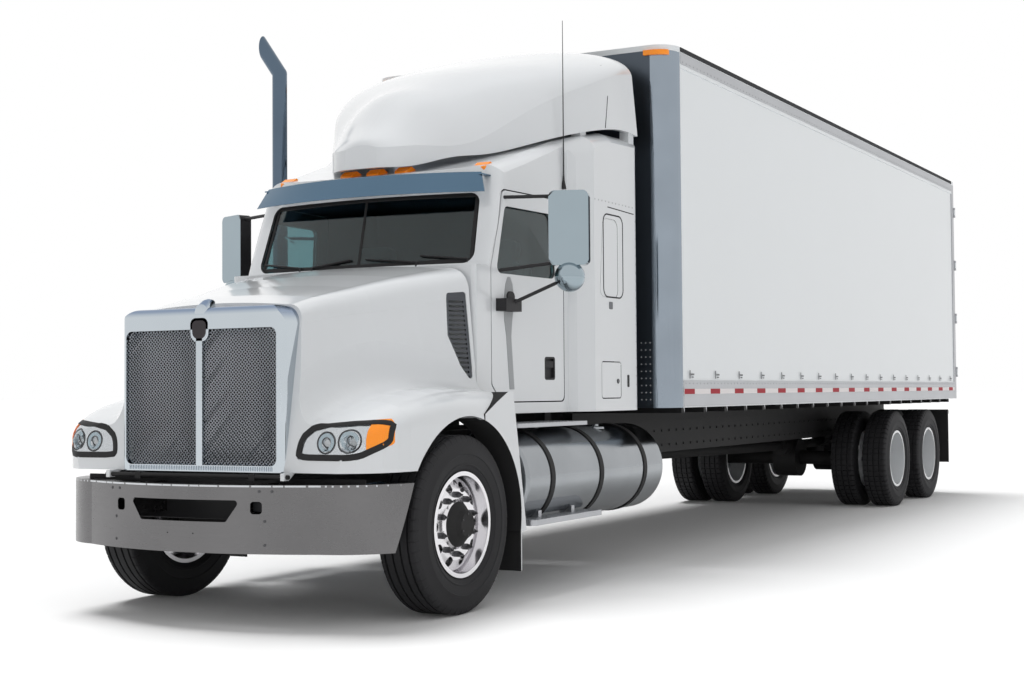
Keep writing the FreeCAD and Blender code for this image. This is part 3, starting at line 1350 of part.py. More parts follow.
def make_van():
    y0, y1 = at(van_front), at(van_back)
    inner = van_half - van_wall
    wall_top = van_top - van_roof_thickness - seat_gap
    deck_low = van_floor_height - van_floor_thickness
    deck = van_outline(van_wall + seat_gap).extrude(V(0, 0, van_floor_thickness))
    deck.translate(V(0, 0, deck_low))
    deck = deck.cut(block(-van_half, van_half, y1 - rear_depth - seat_gap, y1 + overrun, deck_low,
                          van_floor_height))
    sill_half, sill_depth, cross_half, cross_count, cross_front, cross_back = (
        40.0, 80.0, 30.0, 20, 250.0, 250.0)
    sill_x = frame_half - rail_flange / 2
    sills = both(block(sill_x - sill_half, sill_x + sill_half, y0 + van_wall + sill_half,
                       y1 - rear_depth - sill_half, frame_top, frame_top + sill_depth))
    pitch = (y1 - y0 - cross_front - cross_back) / (cross_count - 1)
    for i in range(cross_count):
        y = y0 + cross_front + pitch * i
        sills.append(block(-inner + seat_gap, inner - seat_gap, y - cross_half, y + cross_half,
                           frame_top + sill_depth + seat_gap, deck_low - seat_gap))
    save("body_floor", [deck] + sills)
    shell = van_outline(0).cut(van_outline(van_wall)).extrude(V(0, 0, wall_top - van_bottom))
    shell.translate(V(0, 0, van_bottom))
    corner_x = van_half - van_corner
    front = block(-corner_x, corner_x, y0, y0 + van_wall, van_bottom, wall_top)
    save("body_front_wall", front)
    posts = [shell.common(block(s * corner_x, s * van_half, y0, y0 + van_corner, van_bottom,
                                wall_top)) for s in (1, -1)]
    save("corner_posts", posts)
    rail_low_height, rail_high_height = 200.0, 110.0
    face = van_half - panel_setback
    side_front, side_back = y0 + van_corner, y1 - rear_depth
    panel = block(inner, face, side_front, side_back, van_bottom, wall_top)
    rails = [block(inner, van_half, side_front, side_back, van_bottom,
                   van_bottom + rail_low_height),
             block(inner, van_half, side_front, side_back, wall_top - rail_high_height, wall_top)]
    save("body_sides", both(fused([panel] + rails)))
    roof = van_outline(0).extrude(V(0, 0, van_roof_thickness))
    roof.translate(V(0, 0, van_top - van_roof_thickness))
    save("body_roof", roof)
    make_rear_frame(y1, wall_top)


def hinge_levels(low, high):
    return [mix(low, high, share) for share in cargo_hinge_shares]


def make_rear_frame(y1, top):
    outer = block(-van_half, van_half, y1 - rear_depth + seat_gap, y1, van_bottom, top)
    low, high, side = van_floor_height, top - rear_header, van_half - rear_post
    opening = block(-side, side, y1 - rear_depth - overrun, y1 + overrun, low, high)
    axis_x, axis_y = van_half + cargo_hinge_outset, y1 + cargo_hinge_offset
    knuckle_radius, half, ear, strap, strap_reach = 11.0, 60.0, 25.0, 8.0, 160.0
    pieces = [outer.cut(opening)]
    for z in hinge_levels(low, high):
        pieces += both(rod(V(axis_x, axis_y, z - half), V(axis_x, axis_y, z + half),
                           cargo_hinge_radius))
        for z0, z1 in ((z - half, z - half + ear), (z + half - ear, z + half)):
            pieces += both(rod(V(axis_x, axis_y, z0), V(axis_x, axis_y, z1), knuckle_radius))
            pieces += both(block(van_half - half, axis_x, y1, axis_y, z0, z1))
    save("rear_frame", fused(pieces))
    gap, proud, barrel = 6.0, 6.0, 30.0
    x0, x1, z0, z1 = clearance, side - gap, low + gap, high - gap
    out = y1 + proud
    pieces = [block(x0, x1, out - cargo_door_thickness, out, z0, z1)]
    bores = []
    for z in hinge_levels(low, high):
        pieces.append(block(x1 - strap_reach, axis_x, out, out + strap, z - barrel, z + barrel))
        pieces.append(rod(V(axis_x, axis_y, z - barrel), V(axis_x, axis_y, z + barrel),
                          knuckle_radius))
        bores.append(rod(V(axis_x, axis_y, z - half * 2), V(axis_x, axis_y, z + half * 2),
                         cargo_hinge_radius + pin_play))
    bar_radius, bar_inset, bar_outset, guide_half, guide_rise = 14.0, 180.0, 330.0, 30.0, 25.0
    end_gap, guide_gap, handle_rise, handle_length, handle_half = 20.0, 60.0, 520.0, 300.0, 12.0
    bar_y = y1 + door_gear_reach - bar_radius
    for x in (x0 + bar_inset, x1 - bar_outset):
        pieces.append(rod(V(x, bar_y, z0 + end_gap), V(x, bar_y, z1 - end_gap), bar_radius))
        for share in (0, 1 / 3, 2 / 3, 1):
            z = mix(z0 + guide_gap, z1 - guide_gap, share)
            pieces.append(block(x - guide_half, x + guide_half, out, bar_y, z - guide_rise,
                                z + guide_rise))
    z = z0 + handle_rise
    pieces.append(block(x0 + bar_inset, x0 + bar_inset + handle_length, bar_y - handle_half / 2,
                        bar_y + handle_half / 2, z - handle_half, z + handle_half))
    door = fused(pieces).cut(Part.makeCompound(bores))
    save("cargo_door_left", door)
    save("cargo_door_right", mirrored(door))


def make_rear_gear():
    """Under-run bar and the rear mud flaps, hung from the frame's tail."""
    bar_half, bar_z, bar_depth, leg_x, leg_half, leg_depth = 1080.0, 500.0, 90.0, 390.0, 40.0, 50.0
    y = at(van_back - frame_rear_inset)
    bar = block(-bar_half, bar_half, y, y + bar_depth, bar_z, bar_z + bar_depth)
    legs = both(block(leg_x - leg_half, leg_x + leg_half, y, y + leg_depth, bar_z + leg_half,
                      frame_top - leg_half))
    save("rear_guard", fused([bar] + legs))
    in_x, out_x, flap_low, flap_high, skin, ahead = 620.0, 1240.0, 370.0, 1000.0, 10.0, 90.0
    arm_low, arm_depth = 950.0, 40.0
    flap = block(in_x, out_x, y - ahead, y - ahead + skin, flap_low, flap_high)
    arm = block(frame_half, out_x, y - ahead - skin * 2, y - ahead + skin * 3, arm_low,
                arm_low + arm_depth)
    save("mud_flaps", both(fused([flap, arm])))


def make_fender_extensions():
    """Open-backed panels behind the front wheels, each on a rod from the frame rail."""
    skin, in_x, top, back, foot_back, foot_front, low = (
        25.0, cab_corner_half + 12.0, 1255.0, 500.0, 650.0, 560.0, 420.0)
    seam = fender_seam(running_gap)
    corners = seam + [(at(back), top), (at(foot_back), low), (at(foot_front), low)]
    outline = face_of([V(0, y, z) for y, z in corners])
    circle = Part.Face(Part.Wire(Part.makeCircle(arch_radius, V(0, at(0), arch_centre_height),
                                                 X_AXIS)))
    outline = max(outline.cut(circle).Faces, key=lambda face: face.Area)
    inner = outline.makeOffset2D(-skin)
    outer = outline.extrude(V(hood_half - in_x, 0, 0))
    hollow = inner.extrude(V(hood_half - in_x - skin, 0, 0))
    panel = outer.cut(hollow)
    panel.translate(V(in_x, 0, 0))
    flap_in, flap_out, flap_low, flap_high, flap_skin, flap_gap = (
        930.0, hood_half - 10.0, 180.0, 470.0, 10.0, 8.0)
    flap = block(flap_in, flap_out, at(arch_radius) + flap_gap,
                 at(arch_radius) + flap_gap + flap_skin, flap_low, flap_high)
    stay_y, stay_z, stay_radius = 556.0, 790.0, 14.0
    stay = rod(V(frame_half, at(stay_y), stay_z), V(hood_half - skin / 2, at(stay_y), stay_z),
               stay_radius)
    save("fender_extensions", both(fused([panel, flap, stay])))


os.makedirs("parts", exist_ok=True)
make_frame()
make_engine()
make_bumper()
make_cab()
make_doors()
make_mirrors()
make_sleeper()
make_fairing()
make_visor()
make_marker_lamps()
make_interior()
make_hood()
make_headlamps()
make_hood_screens()
make_grille()
make_wheels()
make_front_axle()
make_knuckles()
make_drive_axles()
make_tanks()
make_exhaust()
make_van()
make_rear_gear()
make_fender_extensions()
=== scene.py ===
"""Looks of a long-nosed three-axle straight truck with a sleeper cab and a white van body."""

import json
import logging
import math
from abc import ABC, abstractmethod
from collections.abc import Callable, Iterable, Sequence
from dataclasses import dataclass, field
from enum import Enum

import bmesh
import bpy
from mathutils import Matrix, Vector
from mathutils.bvhtree import BVHTree


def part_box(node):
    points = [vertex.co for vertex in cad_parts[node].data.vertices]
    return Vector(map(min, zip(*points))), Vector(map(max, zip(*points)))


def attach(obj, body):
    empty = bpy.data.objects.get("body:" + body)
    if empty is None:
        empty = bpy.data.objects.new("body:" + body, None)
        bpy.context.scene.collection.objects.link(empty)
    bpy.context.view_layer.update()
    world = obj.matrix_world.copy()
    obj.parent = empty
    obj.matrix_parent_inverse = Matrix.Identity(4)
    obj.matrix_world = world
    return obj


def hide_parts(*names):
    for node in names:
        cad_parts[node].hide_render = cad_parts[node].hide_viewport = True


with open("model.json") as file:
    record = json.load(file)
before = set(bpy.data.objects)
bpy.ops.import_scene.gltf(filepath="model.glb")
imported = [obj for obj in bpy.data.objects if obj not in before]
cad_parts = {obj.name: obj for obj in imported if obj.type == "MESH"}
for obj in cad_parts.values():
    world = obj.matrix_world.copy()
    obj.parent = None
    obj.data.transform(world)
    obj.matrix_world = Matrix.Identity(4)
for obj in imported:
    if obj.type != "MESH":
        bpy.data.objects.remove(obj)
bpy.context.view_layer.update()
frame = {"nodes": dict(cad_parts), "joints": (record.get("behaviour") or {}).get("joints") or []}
LOG = logging.getLogger("truck")
FRONT_Y = next(joint["pos_m"][1] for joint in frame["joints"]
               if joint["name"] == "spin_front_left")
SIDES = {"left": 1, "right": -1}
BACK = Vector((0, 1, 0))
UP = Vector((0, 0, 1))
SUNK = 0.001  # how deep small parts start below the surface that they stand on
FINE_BUMP = 0.001  # how high a fine surface grain is
MERGE = 0.00002  # points that are nearer than this are one

Color = tuple[float, float, float]
Place = tuple[float, float, float]
Pair = tuple[float, float]
Outline = tuple[Pair, ...]
Spot = tuple[Vector, Vector]
Value = "Sock | float | int"


def at(y: float) -> float:
    """Place along the truck of a point measured back from the front axle."""
    return FRONT_Y + y


def rgba(color: Color) -> tuple[float, float, float, float]:
    """The colour, fully opaque."""
    return (*color, 1.0)


class Slot(Enum):
    """The record's material slots."""

    WHITE = "white_paint"
    CHASSIS = "chassis_paint"
    CAST = "cast_dark"
    CHROME = "chrome"
    ALLOY = "polished_alloy"
    STAINLESS = "stainless"
    BUMPER = "bumper_steel"
    TYRE = "tyre_rubber"
    RUBBER = "black_rubber"
    GLASS = "tinted_glass"
    AMBER = "amber_lens"
    LENS = "lamp_lens"
    PLASTIC = "dark_plastic"
    FABRIC = "grey_fabric"
    WOOD = "deck_wood"
    MESH = "mesh_steel"


def operator(operation: str, swapped: bool = False) -> "Callable[[Sock, Value], Sock]":
    """A method that adds one Math node.

    Args:
        operation: the node's operation.
        swapped: whether the other value comes first, as in a reflected operator.

    Returns:
        The method.
    """
    def method(self: "Sock", other: Value) -> "Sock":
        return self.graph.math(operation, *((other, self) if swapped else (self, other)))
    return method


class Sock:
    """A node's output, on which an expression adds its Math nodes."""

    def __init__(self, graph: "Graph", socket: bpy.types.NodeSocket | None) -> None:
        """Keeps the socket, if the node has one, and the graph that it stands in."""
        self.graph = graph
        self.socket = socket

    __add__ = __radd__ = operator("ADD")
    __mul__ = __rmul__ = operator("MULTIPLY")
    __sub__, __rsub__ = operator("SUBTRACT"), operator("SUBTRACT", swapped=True)
    __gt__, __lt__ = operator("GREATER_THAN"), operator("LESS_THAN")
    __mod__ = operator("FLOORED_MODULO")

    def step(self, low: float, high: float) -> "Sock":
        """A smooth step from 0 at the low value to 1 at the high one."""
        return self.graph.node("ShaderNodeMapRange", {"interpolation_type": "SMOOTHSTEP"},
                               {"Value": self, "From Min": low, "From Max": high})


class Graph:
    """The node tree of one material or world."""

    def __init__(self, owner: bpy.types.Material | bpy.types.World) -> None:
        """Empties the owner's tree."""
        owner.use_nodes = True
        self.tree = owner.node_tree
        self.tree.nodes.clear()

    def node(self, kind: str, settings: dict | None = None, sockets: dict | None = None,
             output: int | str = 0) -> Sock:
        """Adds a node.

        Args:
            kind: the node's type.
            settings: its settings, which are set before its inputs.
            sockets: values or links of its inputs, by name or number.
            output: the output to give back.

        Returns:
            The chosen output.
        """
        made = self.tree.nodes.new(kind)
        for key, value in (settings or {}).items():
            setattr(made, key, value)
        for key, value in (sockets or {}).items():
            if isinstance(value, Sock):
                self.tree.links.new(value.socket, made.inputs[key])
            else:
                made.inputs[key].default_value = value
        return Sock(self, made.outputs[output] if len(made.outputs) else None)

    def math(self, operation: str, left: Value, right: Value) -> Sock:
        """A Math node on two values."""
        return self.node("ShaderNodeMath", {"operation": operation}, {0: left, 1: right})

    def mix(self, share: Value, first: "Sock | Color", second: "Sock | Color") -> Sock:
        """A colour between two others."""
        ends = [c if isinstance(c, Sock) else rgba(c) for c in (first, second)]
        return self.node("ShaderNodeMix", {"data_type": "RGBA"},
                         {0: share, 6: ends[0], 7: ends[1]}, 2)

    def place(self, scale: Place = (1, 1, 1)) -> Sock:
        """The point on the object, stretched along each axis."""
        point = self.node("ShaderNodeTexCoord", output="Object")
        return self.node("ShaderNodeVectorMath", {"operation": "MULTIPLY"}, {0: point, 1: scale})

    def axis(self, name: str) -> Sock:
        """One coordinate of the point on the object."""
        return self.node("ShaderNodeSeparateXYZ", None, {0: self.place()}, name)

    def noise(self, scale: float, detail: float = 2.0, stretch: Place = (1, 1, 1)) -> Sock:
        """Soft noise from 0 to 1."""
        return self.node("ShaderNodeTexNoise", None,
                         {"Vector": self.place(stretch), "Scale": scale, "Detail": detail})

    def bump(self, height: Sock, strength: float, distance: float) -> Sock:
        """A normal raised by a height."""
        return self.node("ShaderNodeBump", None,
                         {"Height": height, "Strength": strength, "Distance": distance})


@dataclass(frozen=True)
class Finish(ABC):
    """What a surface is made of and looks like."""

    name: str
    slot: Slot
    color: Color
    roughness: float = 0.4

    @abstractmethod
    def sockets(self, graph: Graph) -> dict[str, Value]:
        """The shader's values and links for this finish."""

    def material(self) -> bpy.types.Material:
        """The finish as a material, made once."""
        made = bpy.data.materials.get(self.name)
        if made is None:
            made = bpy.data.materials.new(self.name)
            graph = Graph(made)
            base = {"Base Color": rgba(self.color), "Roughness": self.roughness}
            shader = graph.node("ShaderNodeBsdfPrincipled", None, base | self.sockets(graph))
            graph.node("ShaderNodeOutputMaterial", None, {"Surface": shader})
            made.diffuse_color = rgba(self.color)
        return made


@dataclass(frozen=True)
class Paint(Finish):
    """Gloss or satin paint with a faint orange peel and a little road film low down."""

    coat: float = 1.0
    coat_roughness: float = 0.12
    gloss: float = 0.5
    film: float = 0.10
    film_all_over: float = 0.2
    film_dulls: float = 0.6
    film_color: Color = (0.42, 0.40, 0.37)
    film_low: float = 0.15
    film_high: float = 1.5
    cloud_scale: float = 1.7
    peel_scale: float = 210.0
    peel: float = 0.04

    def sockets(self, graph: Graph) -> dict[str, Value]:
        """Paint whose film grows towards the road and in soft clouds."""
        cloud = graph.noise(self.cloud_scale, 4)
        low = 1 - graph.axis("Z").step(self.film_low, self.film_high)
        film = (low + self.film_all_over) * cloud * self.film
        return {"Base Color": graph.mix(film, self.color, self.film_color),
                "Roughness": film * self.film_dulls + self.roughness,
                "Coat Weight": self.coat, "Coat Roughness": self.coat_roughness,
                "Specular IOR Level": self.gloss,
                "Normal": graph.bump(graph.noise(self.peel_scale, 1), self.peel, FINE_BUMP)}


@dataclass(frozen=True)
class Metal(Finish):
    """Bare or plated metal with fine streaks, and a painted reflection of a dark sky where chrome
    faces up.
    """

    streak: Place = (1.0, 1.0, 1.0)
    streak_scale: float = 40.0
    smear_scale: float = 2.3
    grain: float = 0.06
    relief: float = 0.03
    tint: float = 0.12
    painted_reflection: float = 0.0
    painted_reflection_from: float = 0.15
    painted_reflection_full: float = 0.85
    painted_reflection_color: Color = (0.13, 0.20, 0.33)

    def sockets(self, graph: Graph) -> dict[str, Value]:
        """Metal whose streaks and smears vary its gloss."""
        line = graph.noise(self.streak_scale, 3, self.streak)
        smear = graph.noise(self.smear_scale, 3)
        dull = tuple(c * (1 - self.tint) for c in self.color)
        color = graph.mix(smear, self.color, dull)
        # painted reflection: faces that point up are tinted dark blue, standing in for a sky
        # mirrored in the metal
        if self.painted_reflection:
            up = graph.node("ShaderNodeSeparateXYZ", None, {
                0: graph.node("ShaderNodeTexCoord", output="Normal")}, "Z")
            share = up.step(self.painted_reflection_from, self.painted_reflection_full) * self.painted_reflection
            color = graph.mix(share, color, self.painted_reflection_color)
        return {"Base Color": color, "Metallic": 1.0,
                "Roughness": (line + smear - 1) * self.grain + self.roughness,
                "Normal": graph.bump(line, self.relief, FINE_BUMP)}


@dataclass(frozen=True)
class Grained(Finish):
    """Rubber, moulded plastic or cast iron: a fine grain and a dusty bloom."""

    grain_scale: float = 160.0
    relief: float = 0.15
    relief_depth: float = 0.0015
    cloud_scale: float = 3.1
    bloom: float = 0.25
    bloom_dulls: float = 0.15
    bloom_color: Color = (0.20, 0.19, 0.18)
    metallic: float = 0.0
    gloss: float = 0.28

    def sockets(self, graph: Graph) -> dict[str, Value]:
        """A grained surface with dust in soft clouds."""
        grain = graph.noise(self.grain_scale, 3)
        cloud = graph.noise(self.cloud_scale, 4)
        return {"Base Color": graph.mix(cloud * self.bloom, self.color, self.bloom_color),
                "Roughness": cloud * self.bloom_dulls + self.roughness,
                "Metallic": self.metallic, "Specular IOR Level": self.gloss,
                "Normal": graph.bump(grain, self.relief, self.relief_depth)}


@dataclass(frozen=True)
class Fabric(Finish):
    """Woven cloth with crossing threads."""

    thread_scale: float = 260.0
    worn_scale: float = 5.0
    worn: float = 0.4
    shade: float = 0.6
    sheen: float = 0.3
    relief: float = 0.3

    def sockets(self, graph: Graph) -> dict[str, Value]:
        """Two thread directions that shade and raise the cloth."""
        threads = [graph.node("ShaderNodeTexWave", {"bands_direction": way},
                              {"Vector": graph.place(), "Scale": self.thread_scale}, "Fac")
                   for way in ("X", "Z")]
        weave = threads[0] * threads[1]
        share = weave * (1 - self.worn) + graph.noise(self.worn_scale, 3) * self.worn
        dark = tuple(c * self.shade for c in self.color)
        return {"Base Color": graph.mix(share, dark, self.color), "Sheen Weight": self.sheen,
                "Normal": graph.bump(weave, self.relief, FINE_BUMP)}


@dataclass(frozen=True)
class Glass(Finish):
    """Clear or tinted glass or lens plastic, with optional moulded ribs."""

    rib_scale: float = 0.0
    rib_relief: float = 0.35
    rib_depth: float = 0.002
    dust_scale: float = 6.0
    dust: float = 0.03
    ior: float = 1.45
    clear: float = 1.0
    cover: float = 1.0
    glow: float = 0.0

    def sockets(self, graph: Graph) -> dict[str, Value]:
        """Glass with a trace of dust, ribbed where it has a rib scale."""
        dust = graph.noise(self.dust_scale, 4)
        found = {"Transmission Weight": self.clear, "IOR": self.ior, "Alpha": self.cover,
                 "Roughness": dust * self.dust + self.roughness}
        if self.rib_scale:
            ribs = graph.node("ShaderNodeTexWave", {"bands_direction": "X"},
                              {"Vector": graph.place(), "Scale": self.rib_scale}, "Fac")
            found["Normal"] = graph.bump(ribs, self.rib_relief, self.rib_depth)
        if self.glow:
            found["Emission Color"] = rgba(self.color)
            found["Emission Strength"] = self.glow
        return found


@dataclass(frozen=True)
class Boards(Finish):
    """Hardwood deck boards along the truck."""

    board: float = 0.035
    gap: float = 0.002
    grain_scale: float = 9.0
    grain_along: Place = (6.0, 0.6, 6.0)
    grain_dulls: float = 0.2
    relief: float = 0.4
    grain_color: Color = (0.30, 0.20, 0.11)

    def sockets(self, graph: Graph) -> dict[str, Value]:
        """Boards with grain, and a sunk line between them."""
        grain = graph.noise(self.grain_scale, 5, self.grain_along)
        joint = graph.axis("X") % self.board < self.gap
        return {"Base Color": graph.mix(grain, self.color, self.grain_color),
                "Roughness": grain * self.grain_dulls + self.roughness,
                "Normal": graph.bump(1 - joint, self.relief, self.gap)}


@dataclass(frozen=True)
class Banded(Finish):
    """Reflective tape in blocks of two colours along the truck."""

    second: Color = (0.80, 0.76, 0.76)
    start: float = 0.0
    pitch: float = 0.492
    first: float = 0.19
    cell_scale: float = 900.0
    cell_dulls: float = 0.2
    cell_relief: float = 0.1
    cell_depth: float = 0.0005

    def sockets(self, graph: Graph) -> dict[str, Value]:
        """Alternate blocks over a fine cell pattern."""
        part = (graph.axis("Y") - self.start) % self.pitch > self.first
        cell = graph.node("ShaderNodeTexVoronoi", None,
                          {"Vector": graph.place(), "Scale": self.cell_scale}, "Distance")
        return {"Base Color": graph.mix(part, self.color, self.second),
                "Roughness": cell * self.cell_dulls + self.roughness,
                "Normal": graph.bump(cell, self.cell_relief, self.cell_depth)}


WHITE = Paint("white_gloss", Slot.WHITE, (0.655, 0.675, 0.695), 0.28)
BODY_WHITE = Paint("body_white", Slot.WHITE, (0.74, 0.77, 0.79), 0.32, coat=0.5, film=0.14)
BLACK = Paint("chassis_black", Slot.CHASSIS, (0.010, 0.010, 0.011), 0.55, coat=0.0, film=0.035,
              gloss=0.22)
CAST = Grained("cast_iron", Slot.CAST, (0.018, 0.018, 0.019), 0.65, bloom=0.08, metallic=0.3)
# painted reflection: chrome is tinted dark blue where it faces up
CHROME = Metal("chrome_plate", Slot.CHROME, (0.56, 0.61, 0.65), 0.07, grain=0.02, relief=0.005,
               painted_reflection=0.85)
MIRROR = Metal("mirror_chrome", Slot.CHROME, (0.35, 0.42, 0.46), 0.05, grain=0.02, relief=0.004)
# painted reflection: the visor's dark blue base colour stands in for a dark sky mirrored in the
# stainless
VISOR = Metal("visor_stainless", Slot.STAINLESS, (0.105, 0.175, 0.25), 0.16, streak=(0.04, 1, 1),
              grain=0.06)
ALLOY = Metal("polished_alloy_turned", Slot.ALLOY, (0.80, 0.79, 0.81), 0.20,
              streak=(0.05, 1, 1), grain=0.08)
TANK = Metal("polished_tank", Slot.ALLOY, (0.38, 0.40, 0.42), 0.16, streak=(1, 0.04, 1),
             grain=0.08, tint=0.35)
PLATE = Metal("alloy_plate", Slot.ALLOY, (0.46, 0.47, 0.49), 0.36, streak=(1, 0.05, 1))
STAINLESS = Metal("stainless_sheet", Slot.STAINLESS, (0.33, 0.38, 0.435), 0.12,
                  streak=(1, 1, 0.03), grain=0.05, tint=0.3)
# painted reflection: the stack's dark blue base colour stands in for a dark sky mirrored in the
# chrome
STACK = Metal("stack_chrome", Slot.STAINLESS, (0.12, 0.165, 0.22), 0.09, streak=(1, 1, 0.03),
              grain=0.03, tint=0.25)
BUMPER = Metal("bumper_steel_satin", Slot.BUMPER, (0.19, 0.187, 0.19), 0.26,
               streak=(0.04, 1, 1), grain=0.12, relief=0.05, tint=0.25)
BOLT = Metal("bolt_dark", Slot.CAST, (0.10, 0.10, 0.105), 0.30)
MESH = Metal("mesh_steel_wire", Slot.MESH, (0.40, 0.42, 0.45), 0.32)
INTAKE = Metal("intake_dark", Slot.MESH, (0.085, 0.09, 0.10), 0.40)
TYRE = Grained("tyre_black", Slot.TYRE, (0.012, 0.012, 0.014), 0.60, bloom=0.16,
               bloom_color=(0.06, 0.057, 0.055))
RUBBER = Grained("rubber_black", Slot.RUBBER, (0.010, 0.010, 0.011), 0.55, relief=0.08,
                 bloom=0.05)
PLASTIC = Grained("moulded_black", Slot.PLASTIC, (0.012, 0.012, 0.014), 0.42, grain_scale=420.0,
                  bloom=0.06)
CABIN = Grained("cabin_grey", Slot.PLASTIC, (0.045, 0.052, 0.056), 0.60, grain_scale=300.0)
CLOTH = Fabric("seat_cloth", Slot.FABRIC, (0.10, 0.11, 0.12), 0.85)
TINT = Glass("window_tint", Slot.GLASS, (0.26, 0.42, 0.44), 0.0)
LENS = Glass("clear_lens", Slot.LENS, (0.55, 0.60, 0.64), 0.02, clear=0.0, cover=0.07)
BACKUP = Glass("reversing_lens", Slot.LENS, (0.80, 0.82, 0.84), 0.10, rib_scale=60.0, clear=0.2)
AMBER = Glass("amber_lens_ribbed", Slot.AMBER, (1.0, 0.33, 0.015), 0.12, rib_scale=60.0,
              clear=0.2, glow=0.10)
RED = Glass("red_lens_ribbed", Slot.AMBER, (0.60, 0.02, 0.015), 0.12, rib_scale=60.0,
            clear=0.2, glow=0.05)
DECK = Boards("deck_boards", Slot.WOOD, (0.45, 0.32, 0.19), 0.45)
TAPE = Banded("warning_tape", Slot.WHITE, (0.34, 0.008, 0.02), 0.55, start=at(2.758))
SEAM = Grained("seam_dark", Slot.RUBBER, (0.022, 0.023, 0.026), 0.7, relief=0.02, bloom=0.05)
TRIM = Grained("grey_trim", Slot.PLASTIC, (0.16, 0.17, 0.185), 0.5, relief=0.04)
FILLET = Grained("grey_fillet", Slot.PLASTIC, (0.36, 0.375, 0.39), 0.4, relief=0.02)
EMBLEM = Grained("medallion_dark", Slot.PLASTIC, (0.022, 0.017, 0.020), 0.3, relief=0.02,
                 bloom=0.08)
# painted shade and reflection: the body's front wall is dark slate for the shade and dark
# reflection between sleeper and body
SHADED_WALL = Metal("front_wall_sheet", Slot.STAINLESS, (0.085, 0.10, 0.12), 0.32, streak=(1, 1, 0.05))
REFLECTOR = Metal("lamp_reflector", Slot.CHROME, (0.62, 0.64, 0.66), 0.12, grain=0.03)


def circle(centre: Vector, side: Vector, across: Vector, radius: float,
           count: int) -> list[Vector]:
    """Points round a centre, in the plane of two directions."""
    return [centre + (side * math.cos(t) + across * math.sin(t)) * radius
            for t in (math.tau * k / count for k in range(count))]


def courses(path: Sequence[Vector], closed: bool = False) -> list[Vector]:
    """The direction along a path at each of its points."""
    count = len(path)
    return [path[(i + 1) % count if closed else min(i + 1, count - 1)]
            - path[i - 1 if closed else max(i - 1, 0)] for i in range(count)]


def added(name: str, data: bpy.types.ID) -> bpy.types.Object:
    """A new object in the scene that shows the data."""
    made = bpy.data.objects.new(name, data)
    bpy.context.scene.collection.objects.link(made)
    return made


